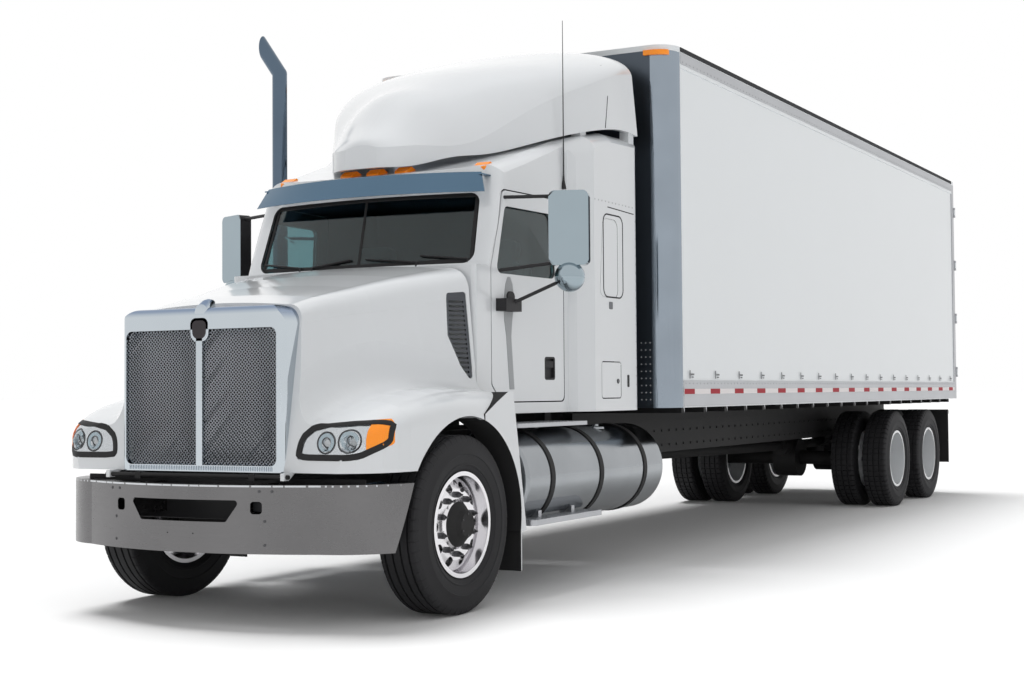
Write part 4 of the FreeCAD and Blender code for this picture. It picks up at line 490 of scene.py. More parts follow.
@dataclass
class Shape:
    """Points and faces gathered for one piece."""

    points: list[Vector] = field(default_factory=list)
    faces: list[tuple[int, ...]] = field(default_factory=list)

    def rows(self, rows: Sequence[Sequence[Vector]], round_run: bool = False) -> "Shape":
        """Skins a run of closed rows that have the same count of points.

        Args:
            rows: the rows of points, in order.
            round_run: whether the last row joins the first. If not, each gets an end face.

        Returns:
            The shape itself.
        """
        start, count = len(self.points), len(rows[0])
        for row in rows:
            self.points += [Vector(p) for p in row]
        for i in range(len(rows) if round_run else len(rows) - 1):
            a, b = start + i * count, start + (i + 1) % len(rows) * count
            for j in range(count):
                k = (j + 1) % count
                self.faces.append((a + j, a + k, b + k, b + j))
        if not round_run:
            last = start + (len(rows) - 1) * count
            self.faces.append(tuple(range(start + count - 1, start - 1, -1)))
            self.faces.append(tuple(range(last, last + count)))
        return self

    def tube(self, path: Sequence[Vector], radius: float, sides: int = 8) -> "Shape":
        """A round bar along a path."""
        rows, side = [], None
        for point, course in zip(path, courses(path)):
            way = course.normalized()
            side = way.orthogonal().normalized() if side is None else side
            side = (side - way * side.dot(way)).normalized()
            rows.append(circle(point, side, way.cross(side), radius, sides))
        return self.rows(rows)

    def strip(self, spots: Sequence[Spot], width: float, lift: float,
              closed: bool = False) -> "Shape":
        """A flat strip that lies on a surface, with softened long edges.

        Args:
            spots: points on the surface, with the outward direction at each.
            width: how wide the strip is.
            lift: how far it stands out.
            closed: whether its end meets its start.

        Returns:
            The shape itself.
        """
        rows = []
        edge = min(lift / 2, width / 5)
        for (point, normal), course in zip(spots, courses([p for p, _ in spots], closed)):
            up = normal.normalized()
            across = course.cross(up).normalized() * (width / 2)
            inner = across * (1 - 2 * edge / width)
            foot, shoulder, top = point - up * SUNK, point + up * (lift - edge), point + up * lift
            rows.append([foot - across, shoulder - across, top - inner, top + inner,
                         shoulder + across, foot + across])
        return self.rows(rows, round_run=closed)

    def stud(self, spot: Vector, normal: Vector, radius: float, height: float,
             sides: int = 6, crown: float = 0.6, flank: float = 0.6) -> "Shape":
        """A nut or rivet head that stands on a surface, with its top drawn in."""
        profile = [(-SUNK, radius), (height * flank, radius), (height, radius * crown)]
        return self.turned(profile, spot, normal, sides)

    def turned(self, profile: Sequence[Pair], centre: Vector, axis: Vector,
               segments: int) -> "Shape":
        """A form turned about an axis.

        Args:
            profile: places along the axis with their radii.
            centre: the axis' zero point.
            axis: its direction.
            segments: how many facets it has round the axis.

        Returns:
            The shape itself.
        """
        up = axis.normalized()
        side = up.orthogonal().normalized()
        across = up.cross(side)
        return self.rows([circle(centre + up * x, side, across, r, segments)
                          for x, r in profile])

    def prism(self, outline: Sequence[Vector], push: Vector) -> "Shape":
        """A flat outline pushed to a thickness."""
        return self.rows([outline, [Vector(p) + push for p in outline]])

    def bar(self, low: Sequence[float], high: Sequence[float]) -> "Shape":
        """A straight-sided bar between two corners."""
        floor = [Vector((x, y, low[2])) for x, y in
                 ((low[0], low[1]), (high[0], low[1]), (high[0], high[1]), (low[0], high[1]))]
        return self.prism(floor, Vector((0, 0, high[2] - low[2])))

    def joined(self, other: "Shape") -> "Shape":
        """This shape with another one added."""
        start = len(self.points)
        self.points += other.points
        self.faces += [tuple(start + i for i in face) for face in other.faces]
        return self

    def cut_at(self, spot: Vector, normal: Vector) -> tuple["Shape", "Shape"]:
        """The parts of an open skin before and beyond a plane."""
        halves = []
        for outer in (True, False):
            mesh = self.to_bmesh()
            bmesh.ops.bisect_plane(mesh, geom=[*mesh.verts, *mesh.edges, *mesh.faces],
                                   plane_co=spot, plane_no=normal, clear_outer=outer,
                                   clear_inner=not outer)
            halves.append(Shape.from_bmesh(mesh))
        return halves[0], halves[1]

    def to_bmesh(self) -> bmesh.types.BMesh:
        """The shape as a fresh edit mesh."""
        mesh = bmesh.new()
        made = [mesh.verts.new(p) for p in self.points]
        for face in self.faces:
            mesh.faces.new([made[i] for i in face])
        return mesh

    @staticmethod
    def from_bmesh(mesh: bmesh.types.BMesh) -> "Shape":
        """The shape that an edit mesh holds, which is then freed."""
        mesh.verts.index_update()
        found = Shape([v.co.copy() for v in mesh.verts],
                      [tuple(v.index for v in f.verts) for f in mesh.faces])
        mesh.free()
        return found

    def closed(self) -> "Shape":
        """The shape with the faces at its cut filled."""
        mesh = self.to_bmesh()
        bmesh.ops.remove_doubles(mesh, verts=mesh.verts[:], dist=MERGE)
        bmesh.ops.holes_fill(mesh, edges=[e for e in mesh.edges if e.is_boundary], sides=0)
        return Shape.from_bmesh(mesh)

    def box(self) -> Spot:
        """The lowest and the highest corner of the shape's box."""
        low, high = (Vector([pick(p[i] for p in self.points) for i in range(3)])
                     for pick in (min, max))
        return low, high

    def centre(self) -> Vector:
        """The middle of the shape's box."""
        low, high = self.box()
        return (low + high) / 2

    def piece(self, name: str, finish: Finish, body: str = "chassis", smooth: float = 30.0,
              bevel: float = 0.0, *, instead: Iterable[str] = ()) -> bpy.types.Object:
        """Makes the piece and fastens it to a body.

        Args:
            name: the piece's name.
            finish: what it is made of.
            body: the body that carries it.
            smooth: the angle in degrees below which faces blend.
            bevel: the width of its softened edges.
            instead: the nodes that it stands for.

        Returns:
            The new object.
        """
        mesh = bpy.data.meshes.new(name)
        work = self.to_bmesh()
        bmesh.ops.recalc_face_normals(work, faces=work.faces[:])
        work.to_mesh(mesh)
        work.free()
        mesh.shade_smooth()
        mesh.set_sharp_from_angle(angle=math.radians(smooth))
        mesh.materials.append(finish.material())
        made = added(name, mesh)
        if bevel:
            soft = made.modifiers.new("edges", "BEVEL")
            soft.width, soft.segments, soft.limit_method = bevel, 2, "ANGLE"
        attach(made, body)
        for node in instead:
            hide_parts(node)
        LOG.info("piece %s: %d faces", name, len(mesh.polygons))
        return made


def solids_of(node: str) -> list[Shape]:
    """Copies of a node's separate solids, from the truck's right side to its left."""
    mesh = bmesh.new()
    mesh.from_mesh(frame["nodes"][node].data)
    bmesh.ops.remove_doubles(mesh, verts=mesh.verts[:], dist=MERGE)
    left = set(mesh.faces)
    found = []
    while left:
        seed = left.pop()
        group, rim = {seed}, [seed]
        while rim:
            for edge in rim.pop().edges:
                near = [f for f in edge.link_faces if f in left]
                left.difference_update(near)
                group.update(near)
                rim += near
        ordered = sorted(group, key=lambda f: f.index)
        verts = sorted({v for f in ordered for v in f.verts}, key=lambda v: v.index)
        number = {v: i for i, v in enumerate(verts)}
        found.append(Shape([v.co.copy() for v in verts],
                           [tuple(number[v] for v in f.verts) for f in ordered]))
    mesh.free()
    return sorted(found, key=lambda s: tuple(round(c, 3) for c in s.centre()))


class Skin:
    """Finds points on the outside of nodes or shapes by casting at them.

    The casts start this far before the front axle, beside the truck's middle and above the
    road. One that misses an edge is tried again, nearer and nearer to a middle.
    """

    before: float = -2.0
    beside: float = 2.0
    above: float = 6.0
    furthest: float = 0.5
    tries: int = 26

    def __init__(self, *parts: str | Shape) -> None:
        """Gathers the faces of shapes, and of nodes by their names."""
        whole = Shape()
        for part in parts:
            if isinstance(part, str):
                mesh = frame["nodes"][part].data
                part = Shape([v.co.copy() for v in mesh.vertices],
                             [tuple(face.vertices) for face in mesh.polygons])
            whole.joined(part)
        self.tree = BVHTree.FromPolygons(whole.points, whole.faces)

    def cast(self, origin: Vector, way: Vector) -> Spot:
        """The first point met from an origin, and the outward direction there."""
        spot, normal, _, _ = self.tree.ray_cast(origin, way)
        if spot is None:
            raise ValueError(f"nothing met from {tuple(origin)}")
        return spot, normal if normal.dot(way) < 0 else -normal

    def side(self, y: float, z: float, sign: int = 1) -> Spot:
        """The point on one flank at a place along the truck and a height."""
        return self.cast(Vector((sign * self.beside, at(y), z)), Vector((-sign, 0, 0)))

    def front(self, x: float, z: float) -> Spot:
        """The point on the nose side at a place across the truck and a height."""
        return self.cast(Vector((x, at(self.before), z)), BACK)

    def edge(self, x: float, z: float, middle: Pair) -> Spot:
        """The first point met on the nose side while the aim moves towards a middle."""
        for share in between(0.0, self.furthest, self.tries):
            aim = (x + (middle[0] - x) * share, z + (middle[1] - z) * share)
            start = Vector((aim[0], at(self.before), aim[1]))
            if self.tree.ray_cast(start, BACK)[0] is not None:
                return self.front(*aim)
        raise ValueError(f"nothing met near {x}, {z}")

    def top(self, x: float, y: float) -> Spot:
        """The point on top at a place across and along the truck."""
        return self.cast(Vector((x, at(y), self.above)), -UP)


def between(low: float, high: float, count: int) -> list[float]:
    """Evenly spaced values from low to high."""
    return [low + (high - low) * i / (count - 1) for i in range(count)]


def rounded(width: float, height: float, turn: float, steps: int = 6) -> list[Pair]:
    """The outline of a rectangle with round corners, about its middle."""
    found = []
    for i, (x, z) in enumerate(((1, -1), (1, 1), (-1, 1), (-1, -1))):
        cx, cz = x * (width / 2 - turn), z * (height / 2 - turn)
        for k in range(steps + 1):
            t = math.pi / 2 * (i - 1 + k / steps)
            found.append((cx + math.cos(t) * turn, cz + math.sin(t) * turn))
    return found


def middle_of(node: str) -> Vector:
    """The middle of a node's box."""
    low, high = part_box(node)
    return (low + high) / 2


def parted(node: str, body: str, finishes: Sequence[Finish],
           choose: Callable[[Vector, Vector], int]) -> None:
    """Shows a node in its own form with more than one finish.

    Args:
        node: the node that the copy stands for.
        body: the body that carries it.
        finishes: the finishes, in the order of the numbers that choose gives.
        choose: gives the finish's number from a face's middle and direction.
    """
    mesh = frame["nodes"][node].data.copy()
    mesh.materials.clear()
    for finish in finishes:
        mesh.materials.append(finish.material())
    for face in mesh.polygons:
        face.material_index = choose(face.center, face.normal)
    made = added("shown_" + node, mesh)
    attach(made, body)
    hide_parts(node)
    LOG.info("parted %s: %s", node, [finish.name for finish in finishes])


@dataclass
class Plain:
    """Nodes that keep their own shape, with the finish of each."""

    table: dict[Finish, tuple[str, ...]] = field(default_factory=lambda: {
        WHITE: ("hood_shell", "roof_fairing", "luggage_door_left", "luggage_door_right"),
        BODY_WHITE: ("body_roof", "body_sides", "cargo_door_left", "cargo_door_right"),
        BLACK: ("chassis_frame", "front_springs", "rear_suspension", "rear_guard"),
        CAST: ("front_axle", "knuckle_left", "knuckle_right", "tie_rod", "drive_axles",
               "drive_shafts", "engine_block"),
        CHROME: ("grille_surround",),
        PLATE: ("rear_frame", "cab_steps"),
        # painted shade and reflection on the body's front wall
        SHADED_WALL: ("body_front_wall",),
        TANK: ("fuel_tanks",),
        STAINLESS: ("corner_posts",),
        VISOR: ("sun_visor",),
        STACK: ("exhaust_stack",),
        BUMPER: ("front_bumper",),
        INTAKE: ("hood_intakes",),
        RUBBER: ("mud_flaps", "tank_straps"),
        CABIN: ("dashboard",),
        TINT: ("windscreen", "door_left_glass", "door_right_glass"),
    })

    def build(self) -> None:
        """Gives every node of the table its finish."""
        for finish, nodes in self.table.items():
            for name in nodes:
                node = frame["nodes"][name]
                node.data.materials.clear()
                node.data.materials.append(finish.material())
            LOG.info("%s: %s", finish.name, nodes)


@dataclass
class Parted:
    """Nodes whose own shape shows more than one finish."""

    cab_middle: Pair = (0.95, 1.9)
    sleeper_middle: Pair = (1.95, 2.2)
    handle_low: Place = (0.9535, 1.245, 1.325)
    handle_high: Place = (1.0, 1.375, 1.485)
    mirror_head: float = 1.228
    hub: float = 0.128
    rear_hub: float = 0.150
    extension_half: float = 1.160
    extension_facing: float = 0.2
    deck_top: float = 1.22
    deck_edge: float = 1.135
    flat: float = 0.9

    def lined(self, node: str, body: str, middle: Pair) -> None:
        """Lines the inside of a white shell in grey, with black door handles."""
        centre = Vector((0, at(middle[0]), middle[1]))
        door = node.startswith("door")

        def choose(spot: Vector, way: Vector) -> int:
            place = (abs(spot.x), spot.y - FRONT_Y, spot.z)
            if door and all(low < value < high for low, value, high
                            in zip(self.handle_low, place, self.handle_high)):
                return 2
            return int(way.dot(centre - spot) > 0)
        parted(node, body, (WHITE, CABIN, PLASTIC), choose)

    def wheel(self, node: str, rim: Finish, hub: float) -> None:
        """Gives a wheel a dark hub."""
        middle = middle_of(node)
        parted(node, node, (rim, CAST),
               lambda spot, _: int(math.hypot(spot.y - middle.y, spot.z - middle.z) < hub))

    def floor_part(self, spot: Vector, way: Vector) -> int:
        """The finish of a face of the body's floor: boards, black below, or a bright edge."""
        if way.z > self.flat and spot.z > self.deck_top:
            return 0
        return 2 if abs(way.x) > self.flat and spot.z > self.deck_edge else 1

    def build(self) -> None:
        """Shows the shells, doors, mirrors, wheels and the deck."""
        self.lined("cab_shell", "chassis", self.cab_middle)
        self.lined("sleeper_shell", "chassis", self.sleeper_middle)
        for side in SIDES:
            door = "door_" + side
            self.lined(door + "_panel", door, self.cab_middle)
            parted(door + "_mirror", door, (MIRROR, PLASTIC),
                   lambda spot, _: int(abs(spot.x) < self.mirror_head))
            self.wheel("wheel_front_" + side, ALLOY, self.hub)
            for axle in (1, 2):
                self.wheel(f"wheels_rear_{axle}_{side}", WHITE, self.rear_hub)
        parted("fender_extensions", "chassis", (WHITE, RUBBER),
               lambda spot, way: int(abs(spot.x) < self.extension_half
                                     and way.y < self.extension_facing))
        parted("body_floor", "chassis", (DECK, BLACK, PLATE), self.floor_part)


@dataclass
class Tyres:
    """Tyres with their ribs, grooves, lugs and sidewall rings.

    The shoulder's and the wall's points are measured from the edge of the tread and from the
    tyre's flank, both at the tyre's full radius.
    """

    radius: float = 0.507
    half: float = 0.140
    tread_half: float = 0.113
    shoulder: Outline = ((-0.011, 0.0), (0.0, -0.006), (0.009, -0.020), (0.013, -0.036))
    wall: Outline = (
        (-0.013, -0.040), (-0.010, -0.062), (-0.005, -0.085), (-0.001, -0.101), (0.0, -0.105),
        (0.0, -0.109), (-0.0035, -0.112), (-0.005, -0.140), (-0.009, -0.162),
        (-0.006, -0.165), (-0.007, -0.171), (-0.012, -0.174), (-0.019, -0.190))
    foot: Outline = ((0.114, 0.3085), (0.1045, 0.3025), (0.1035, 0.2885))
    groove: float = 0.013
    groove_half: float = 0.005
    groove_edge: float = 0.0015
    lugs: int = 54
    lug_steps: tuple[tuple[float, bool], ...] = (
        (0.0, False), (0.80, False), (0.84, True), (0.96, True))
    steer_grooves: tuple[float, ...] = (-0.078, -0.027, 0.027, 0.078)
    steer_cuts: Pair = (0.004, 0.0)
    drive_grooves: tuple[float, ...] = (-0.060, 0.0, 0.060)
    drive_cuts: Pair = (0.014, 0.008)

    def profile(self, grooves: Sequence[float]) -> list[tuple[float, float, str]]:
        """The closed profile of a tyre from bead to bead, with the kind of each point."""
        right = ([(self.tread_half + x, self.radius + z, "lug") for x, z in self.shoulder]
                 + [(self.half + x, self.radius + z, "wall") for x, z in self.wall]
                 + [(x, z, "wall") for x, z in self.foot])
        found = [(-x, z, kind) for x, z, kind in right[::-1]]
        floor = self.radius - self.groove
        for x in grooves:
            rim = self.groove_half + self.groove_edge
            found += [(x - rim, self.radius, "rib"), (x - self.groove_half, floor, "floor"),
                      (x + self.groove_half, floor, "floor"), (x + rim, self.radius, "rib")]
        return found + right

    def shape(self, centre: Vector, grooves: Sequence[float],
              cuts: Pair) -> Shape:
        """One tyre.

        Args:
            centre: its middle.
            grooves: the places of its grooves across the tread.
            cuts: how deep the cuts between the shoulder lugs and across the ribs are.

        Returns:
            The tyre's shape.
        """
        depths = {"lug": cuts[0], "rib": cuts[1]}
        profile = self.profile(grooves)
        rows = []
        for i in range(self.lugs):
            for share, cut in self.lug_steps:
                t = math.tau * (i + share) / self.lugs
                out = Vector((0, math.cos(t), math.sin(t)))
                rows.append([centre + Vector((x, 0, 0))
                             + out * (r - (depths.get(kind, 0.0) if cut else 0.0))
                             for x, r, kind in profile])
        return Shape().rows(rows, round_run=True)

    def build(self) -> None:
        """Makes the steered and the driven tyres."""
        for side in SIDES:
            node = "tyre_front_" + side
            self.shape(middle_of(node), self.steer_grooves, self.steer_cuts).piece(
                "tread_front_" + side, TYRE, "wheel_front_" + side, 24, instead=[node])
            for axle in (1, 2):
                node = f"tyres_rear_{axle}_{side}"
                low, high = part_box(node)
                middle = middle_of(node)
                pair = Shape()
                for x in (low.x + self.half, high.x - self.half):
                    pair.joined(self.shape(Vector((x, middle.y, middle.z)), self.drive_grooves,
                                           self.drive_cuts))
                pair.piece(f"tread_rear_{axle}_{side}", TYRE, f"wheels_rear_{axle}_{side}", 24,
                           instead=[node])


@dataclass
class Wheels:
    """Nuts, studs, hub bolts and valves of the wheels; each fastener has a radius and height."""

    nut_circle: float = 0.1675
    nut: Pair = (0.019, 0.030)
    nut_stud: Pair = (0.00855, 0.045)
    nuts: int = 10
    cap_circle: float = 0.062
    cap_bolt: Pair = (0.006, 0.006)
    cap_bolts: int = 6
    valve_place: Pair = (0.012, 0.25)
    valve_reach: Pair = (0.020, -0.02)
    valve: float = 0.004

    def ring(self, shape: Shape, skin: Skin, centre: Vector, sign: int, circle_radius: float,
             size: Pair, count: int) -> None:
        """Adds a ring of nuts to the outer face of a wheel."""
        face, _ = skin.side(centre.y - FRONT_Y, centre.z + circle_radius, sign)
        for i in range(count):
            t = math.tau * (i + 0.5) / count
            spot = Vector((face.x, centre.y + math.cos(t) * circle_radius,
                           centre.z + math.sin(t) * circle_radius))
            shape.stud(spot, Vector((sign, 0, 0)), *size)

    def build(self) -> None:
        """Dresses the hubs of all wheels."""
        for side, sign in SIDES.items():
            for node in ("wheel_front_" + side, f"wheels_rear_1_{side}", f"wheels_rear_2_{side}"):
                skin, middle = Skin(node), middle_of(node)
                nuts, hub = Shape(), Shape()
                self.ring(nuts, skin, middle, sign, self.nut_circle, self.nut, self.nuts)
                self.ring(nuts, skin, middle, sign, self.nut_circle, self.nut_stud, self.nuts)
                self.ring(hub, skin, middle, sign, self.cap_circle, self.cap_bolt,
                          self.cap_bolts)
                back, up = self.valve_place
                spot, _ = skin.side(middle.y - FRONT_Y + back, middle.z + up, sign)
                out, rise = self.valve_reach
                hub.tube([spot, spot + Vector((sign * out, 0, rise))], self.valve)
                nuts.piece("nuts_" + node, BOLT, node)
                hub.piece("hub_bolts_" + node, BOLT, node)


@dataclass
class Grille:
    """Crimped wire screens with a dark backing."""

    pitch: float = 0.0155
    wire: float = 0.0022
    turn: float = 0.040
    slats: int = 46
    slat_half: float = 0.006
    slat_depth: Pair = (0.030, 0.036)
    back_depth: Pair = (0.037, 0.040)

    def inside(self, x: float, z: float, low: Vector, high: Vector, outer: int) -> bool:
        """Whether a point is in the screen's opening, which is round at its outer corners."""
        if not (low.x <= x <= high.x and low.z <= z <= high.z):
            return False
        depth = ((high.x if outer > 0 else low.x) - x) * outer
        rise = min(z - low.z, high.z - z)
        return (depth >= self.turn or rise >= self.turn
                or math.hypot(self.turn - depth, self.turn - rise) < self.turn)

    def screen(self, shape: Shape, low: Vector, high: Vector) -> None:
        """Adds the two crossing rows of crimped wires of one screen."""
        y, outer = (low.y + high.y) / 2, 1 if low.x > 0 else -1
        width, height = high.x - low.x, high.z - low.z
        reach = int((width + height) / self.pitch / math.sqrt(2)) + 1
        half = self.pitch / math.sqrt(2) / 2
        for lean in (1, -1):
            for i in range(-reach, reach * 2):
                run: list[Vector] = []
                for k in range(int(height / half) + 2):
                    z = low.z + k * half
                    x = low.x + i * half * 4 + lean * k * half
                    if self.inside(x, z, low, high, outer):
                        wave = self.wire * (1 if (i + k // 2) % 2 else -1) * lean
                        run.append(Vector((x, y + wave, z)))
                        continue
                    if len(run) > 1:
                        shape.tube(run, self.wire, 4)
                    run = []

    def build(self) -> None:
        """Makes the screens and the slats behind them."""
        screens, back = Shape(), Shape()
        for solid in solids_of("grille_mesh"):
            self.screen(screens, *solid.box())
        screens.piece("grille_wires", MESH, "hood", 60, instead=["grille_mesh"])
        low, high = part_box("grille_mesh")
        near, far = (high.y + depth for depth in self.slat_depth)
        for x in between(low.x, high.x, self.slats):
            back.bar((x - self.slat_half, near, low.z), (x + self.slat_half, far, high.z))
        near, far = (high.y + depth for depth in self.back_depth)
        back.bar((low.x, near, low.z), (high.x, far, high.z))
        back.piece("grille_backing", PLASTIC, "hood")


@dataclass
class Nose:
    """A plain medallion with its fin, and the ribbed strip under the grille.

    The medallion is a place across, a height and a size. The fin's rows are a place along the
    truck, the height of its top and half its width.
    """

    badge: Place = (0.0, 1.612, 0.132)
    badge_face: float = -0.905
    badge_depth: float = 0.020
    badge_taper: float = 0.25
    badge_turn: float = 0.3
    plain_share: float = 0.74
    plain_rise: float = 0.0015
    plain_depth: float = 0.004
    fin: tuple[Place, ...] = (
        (-0.902, 1.700, 0.040), (-0.888, 1.752, 0.044), (-0.86, 1.776, 0.040),
        (-0.83, 1.784, 0.030), (-0.80, 1.782, 0.018), (-0.78, 1.776, 0.008))
    fin_sunk: float = 0.006
    strip: Pair = (0.842, 0.866)
    strip_half: float = 0.50
    ribs: int = 84
    rib: float = 0.0028
    rib_rise: float = 0.001

    def medallion(self) -> None:
        """Makes the bright rim, narrower below, and its plain field."""
        x, z, size = self.badge
        middle = Vector((x, at(self.badge_face), z))
        outline = []
        for a, c in rounded(size, size, size * self.badge_turn):
            taper = 1.0 + self.badge_taper * min(c, 0.0) / size
            outline.append(middle + Vector((a * taper, 0, c)))
        Shape().prism(outline, BACK * self.badge_depth).piece(
            "nose_medallion", CHROME, "hood", bevel=0.003)
        face = [middle + (p - middle) * self.plain_share - BACK * self.plain_rise
                for p in outline]
        Shape().prism(face, BACK * self.plain_depth).piece(
            "nose_medallion_field", EMBLEM, "hood")

    def build(self) -> None:
        """Makes the medallion, the fin and the ribs."""
        self.medallion()
        skin = Skin("hood_shell", "grille_surround")
        rows = []
        for y, top, half in self.fin:
            floor = skin.top(0.0, y)[0].z - self.fin_sunk
            rise = max(top - floor, 2 * self.fin_sunk)
            rows.append([Vector((math.cos(t) * half, at(y), floor + math.sin(t) * rise))
                         for t in between(0, math.pi, 9)])
        Shape().rows(rows).piece("nose_fin", CHROME, "hood", 40, 0.002)
        ribs = Shape()
        for x in between(-self.strip_half, self.strip_half, self.ribs):
            low, high = (skin.front(x, z)[0] for z in self.strip)
            ribs.tube([low, (low + high) / 2 - BACK * self.rib_rise, high], self.rib, 5)
        ribs.piece("grille_ribs", STAINLESS, "hood", 50)


@dataclass
class Headlamps:
    """Lamp covers, bright housings, round lamps and amber turn lamps.

    The lamps are a place across, a height and a radius. The rings of one lamp have shares of
    its radius for their own radius and width, and a rise.
    """

    amber_from: float = 1.040
    cover_front: float = -0.8715
    lamps: tuple[Place, ...] = ((0.820, 0.995, 0.056), (0.958, 1.002, 0.060))
    dark_rings: tuple[Place, ...] = ((1.0, 0.16, 0.0035), (0.46, 0.10, 0.0030))
    bowl_rings: tuple[Place, ...] = ((0.72, 0.38, 0.0020),)
    eye: Outline = ((0.0, 0.40), (0.003, 0.36), (0.0042, 0.18), (0.0045, 0.035))
    eye_facets: int = 32
    facets: int = 28
    outline: Outline = (
        (0.646, 0.918), (0.83, 0.917), (1.000, 0.917), (1.062, 0.952), (1.117, 0.990),
        (1.120, 1.050), (1.118, 1.106), (0.93, 1.096), (0.750, 1.081), (0.690, 1.050),
        (0.660, 1.005), (0.650, 0.960))
    bezel: float = 0.034
    bezel_rise: float = 0.002
    middle: Pair = (0.90, 1.0)

    def rounded_outline(self) -> list[Pair]:
        """The lamp's outline with its corners cut twice."""
        found = list(self.outline)
        for _ in range(2):
            found = [(a[0] * (1 - s) + b[0] * s, a[1] * (1 - s) + b[1] * s)
                     for a, b in zip(found, found[1:] + found[:1]) for s in (0.25, 0.75)]
        return found

    def rings(self, shape: Shape, skin: Skin, lamp: Place, rings: Sequence[Place]) -> None:
        """Lays rings about a lamp's middle on its housing."""
        x, z, radius = lamp
        for size, width, rise in rings:
            reach = radius * size
            spots = [skin.edge(x + math.cos(t) * reach, z + math.sin(t) * reach, (x, z))
                     for t in (math.tau * k / self.facets for k in range(self.facets))]
            shape.strip(spots, radius * width, rise, closed=True)

    def build(self) -> None:
        """Splits the covers into clear and amber, and sets the lamps behind them."""
        clear, amber, housings, bowls, eyes, bezels, rings = (Shape() for _ in range(7))
        node = Skin("headlamps")
        for solid in solids_of("headlamps"):
            sign = 1 if solid.centre().x > 0 else -1
            if solid.box()[0].y > at(self.cover_front):
                housings.joined(solid)
                skin = Skin(solid)
                for x, z, radius in self.lamps:
                    lamp = (sign * x, z, radius)
                    self.rings(rings, skin, lamp, self.dark_rings)
                    self.rings(bowls, skin, lamp, self.bowl_rings)
                    eyes.turned([(rise, radius * share) for rise, share in self.eye],
                                *skin.front(sign * x, z), self.eye_facets)
                continue
            inner, outer = solid.cut_at(Vector((sign * self.amber_from, 0, 0)),
                                        Vector((sign, 0, 0)))
            clear.joined(inner)
            amber.joined(outer)
            middle = (sign * self.middle[0], self.middle[1])
            spots = [node.edge(sign * x, z, middle) for x, z in self.rounded_outline()]
            bezels.strip(spots, self.bezel, self.bezel_rise, closed=True)
        for shape, name, finish in ((clear, "headlamp_covers", LENS),
                                    (amber, "turn_lamp_covers", AMBER),
                                    (housings, "headlamp_housings", REFLECTOR)):
            shape.piece(name, finish, "hood", instead=["headlamps"])
        for shape, name, finish in ((bowls, "headlamp_bowls", MIRROR),
                                    (rings, "headlamp_rings", PLASTIC),
                                    (eyes, "headlamp_eyes", BACKUP)):
            shape.piece(name, finish, "hood", 40)
        bezels.piece("headlamp_bezels", RUBBER, "hood", 50)


@dataclass
class Lamps:
    """Amber marker lamps, red tail lamps and clear reversing lamps."""

    tail_from: float = 3.0
    reverse_to: float = 0.95
    high_from: float = 2.0

    def build(self) -> None:
        """Sorts the lamps by their place."""
        groups = {AMBER: Shape(), RED: Shape(), BACKUP: Shape()}
        for solid in solids_of("marker_lamps"):
            spot = solid.centre()
            low_and_inner = abs(spot.x) < self.reverse_to and spot.z < self.high_from
            finish = AMBER if spot.y < at(self.tail_from) else BACKUP if low_and_inner else RED
            groups[finish].joined(solid)
        for finish, shape in groups.items():
            shape.piece("lamps_" + finish.name, finish, smooth=40, instead=["marker_lamps"])


@dataclass
class Bumper:
    """Tow-hook covers, bolts, a painted highlight strip along the upper edge, and the dark screen
    behind the bumper.
    """

    hook: Pair = (0.45, 0.66)
    hook_size: float = 0.056
    hook_turn: float = 0.010
    hook_back: float = 0.030
    hook_thick: float = 0.004
    bolts: Outline = ((0.49, 0.742), (0.56, 0.742), (0.52, 0.585), (0.52, 0.46))
    bolt: Pair = (0.008, 0.004)
    highlight_height: float = 0.7685
    highlight_half: float = 1.145
    highlight_wide: float = 0.009
    highlight_rise: float = 0.0002
    highlight_steps: int = 61
    screen_low: Place = (-0.98, -0.735, 0.56)
    screen_high: Place = (0.98, -0.720, 0.80)

    def build(self) -> None:
        """Sets the covers, bolts and the painted highlight strip on the bumper's face."""
        skin = Skin("front_bumper")
        covers, bolts = Shape(), Shape()
        for sign in (1, -1):
            x, z = sign * self.hook[0], self.hook[1]
            face, _ = skin.front(x + sign * self.hook_size, z)
            ring = [Vector((x + a, face.y + self.hook_back, z + c))
                    for a, c in rounded(self.hook_size, self.hook_size, self.hook_turn)]
            covers.prism(ring, BACK * self.hook_thick)
            for across, height in self.bolts:
                bolts.stud(*skin.front(sign * across, height), *self.bolt, 12, 0.5)
        covers.piece("tow_covers", SEAM, bevel=0.001)
        # painted highlight: a thin bright strip along the bumper's top edge stands in for the
        # light it catches
        highlight = Shape().strip([skin.front(x, self.highlight_height) for x in
                             between(-self.highlight_half, self.highlight_half, self.highlight_steps)],
                            self.highlight_wide, self.highlight_rise)
        highlight.piece("bumper_lip", REFLECTOR, smooth=50)
        low, high = (Vector((x, at(y), z)) for x, y, z in (self.screen_low, self.screen_high))
        Shape().bar(low, high).piece("nose_screen", PLASTIC, bevel=0.004)
        bolts.piece("bumper_bolts", BOLT, smooth=40)


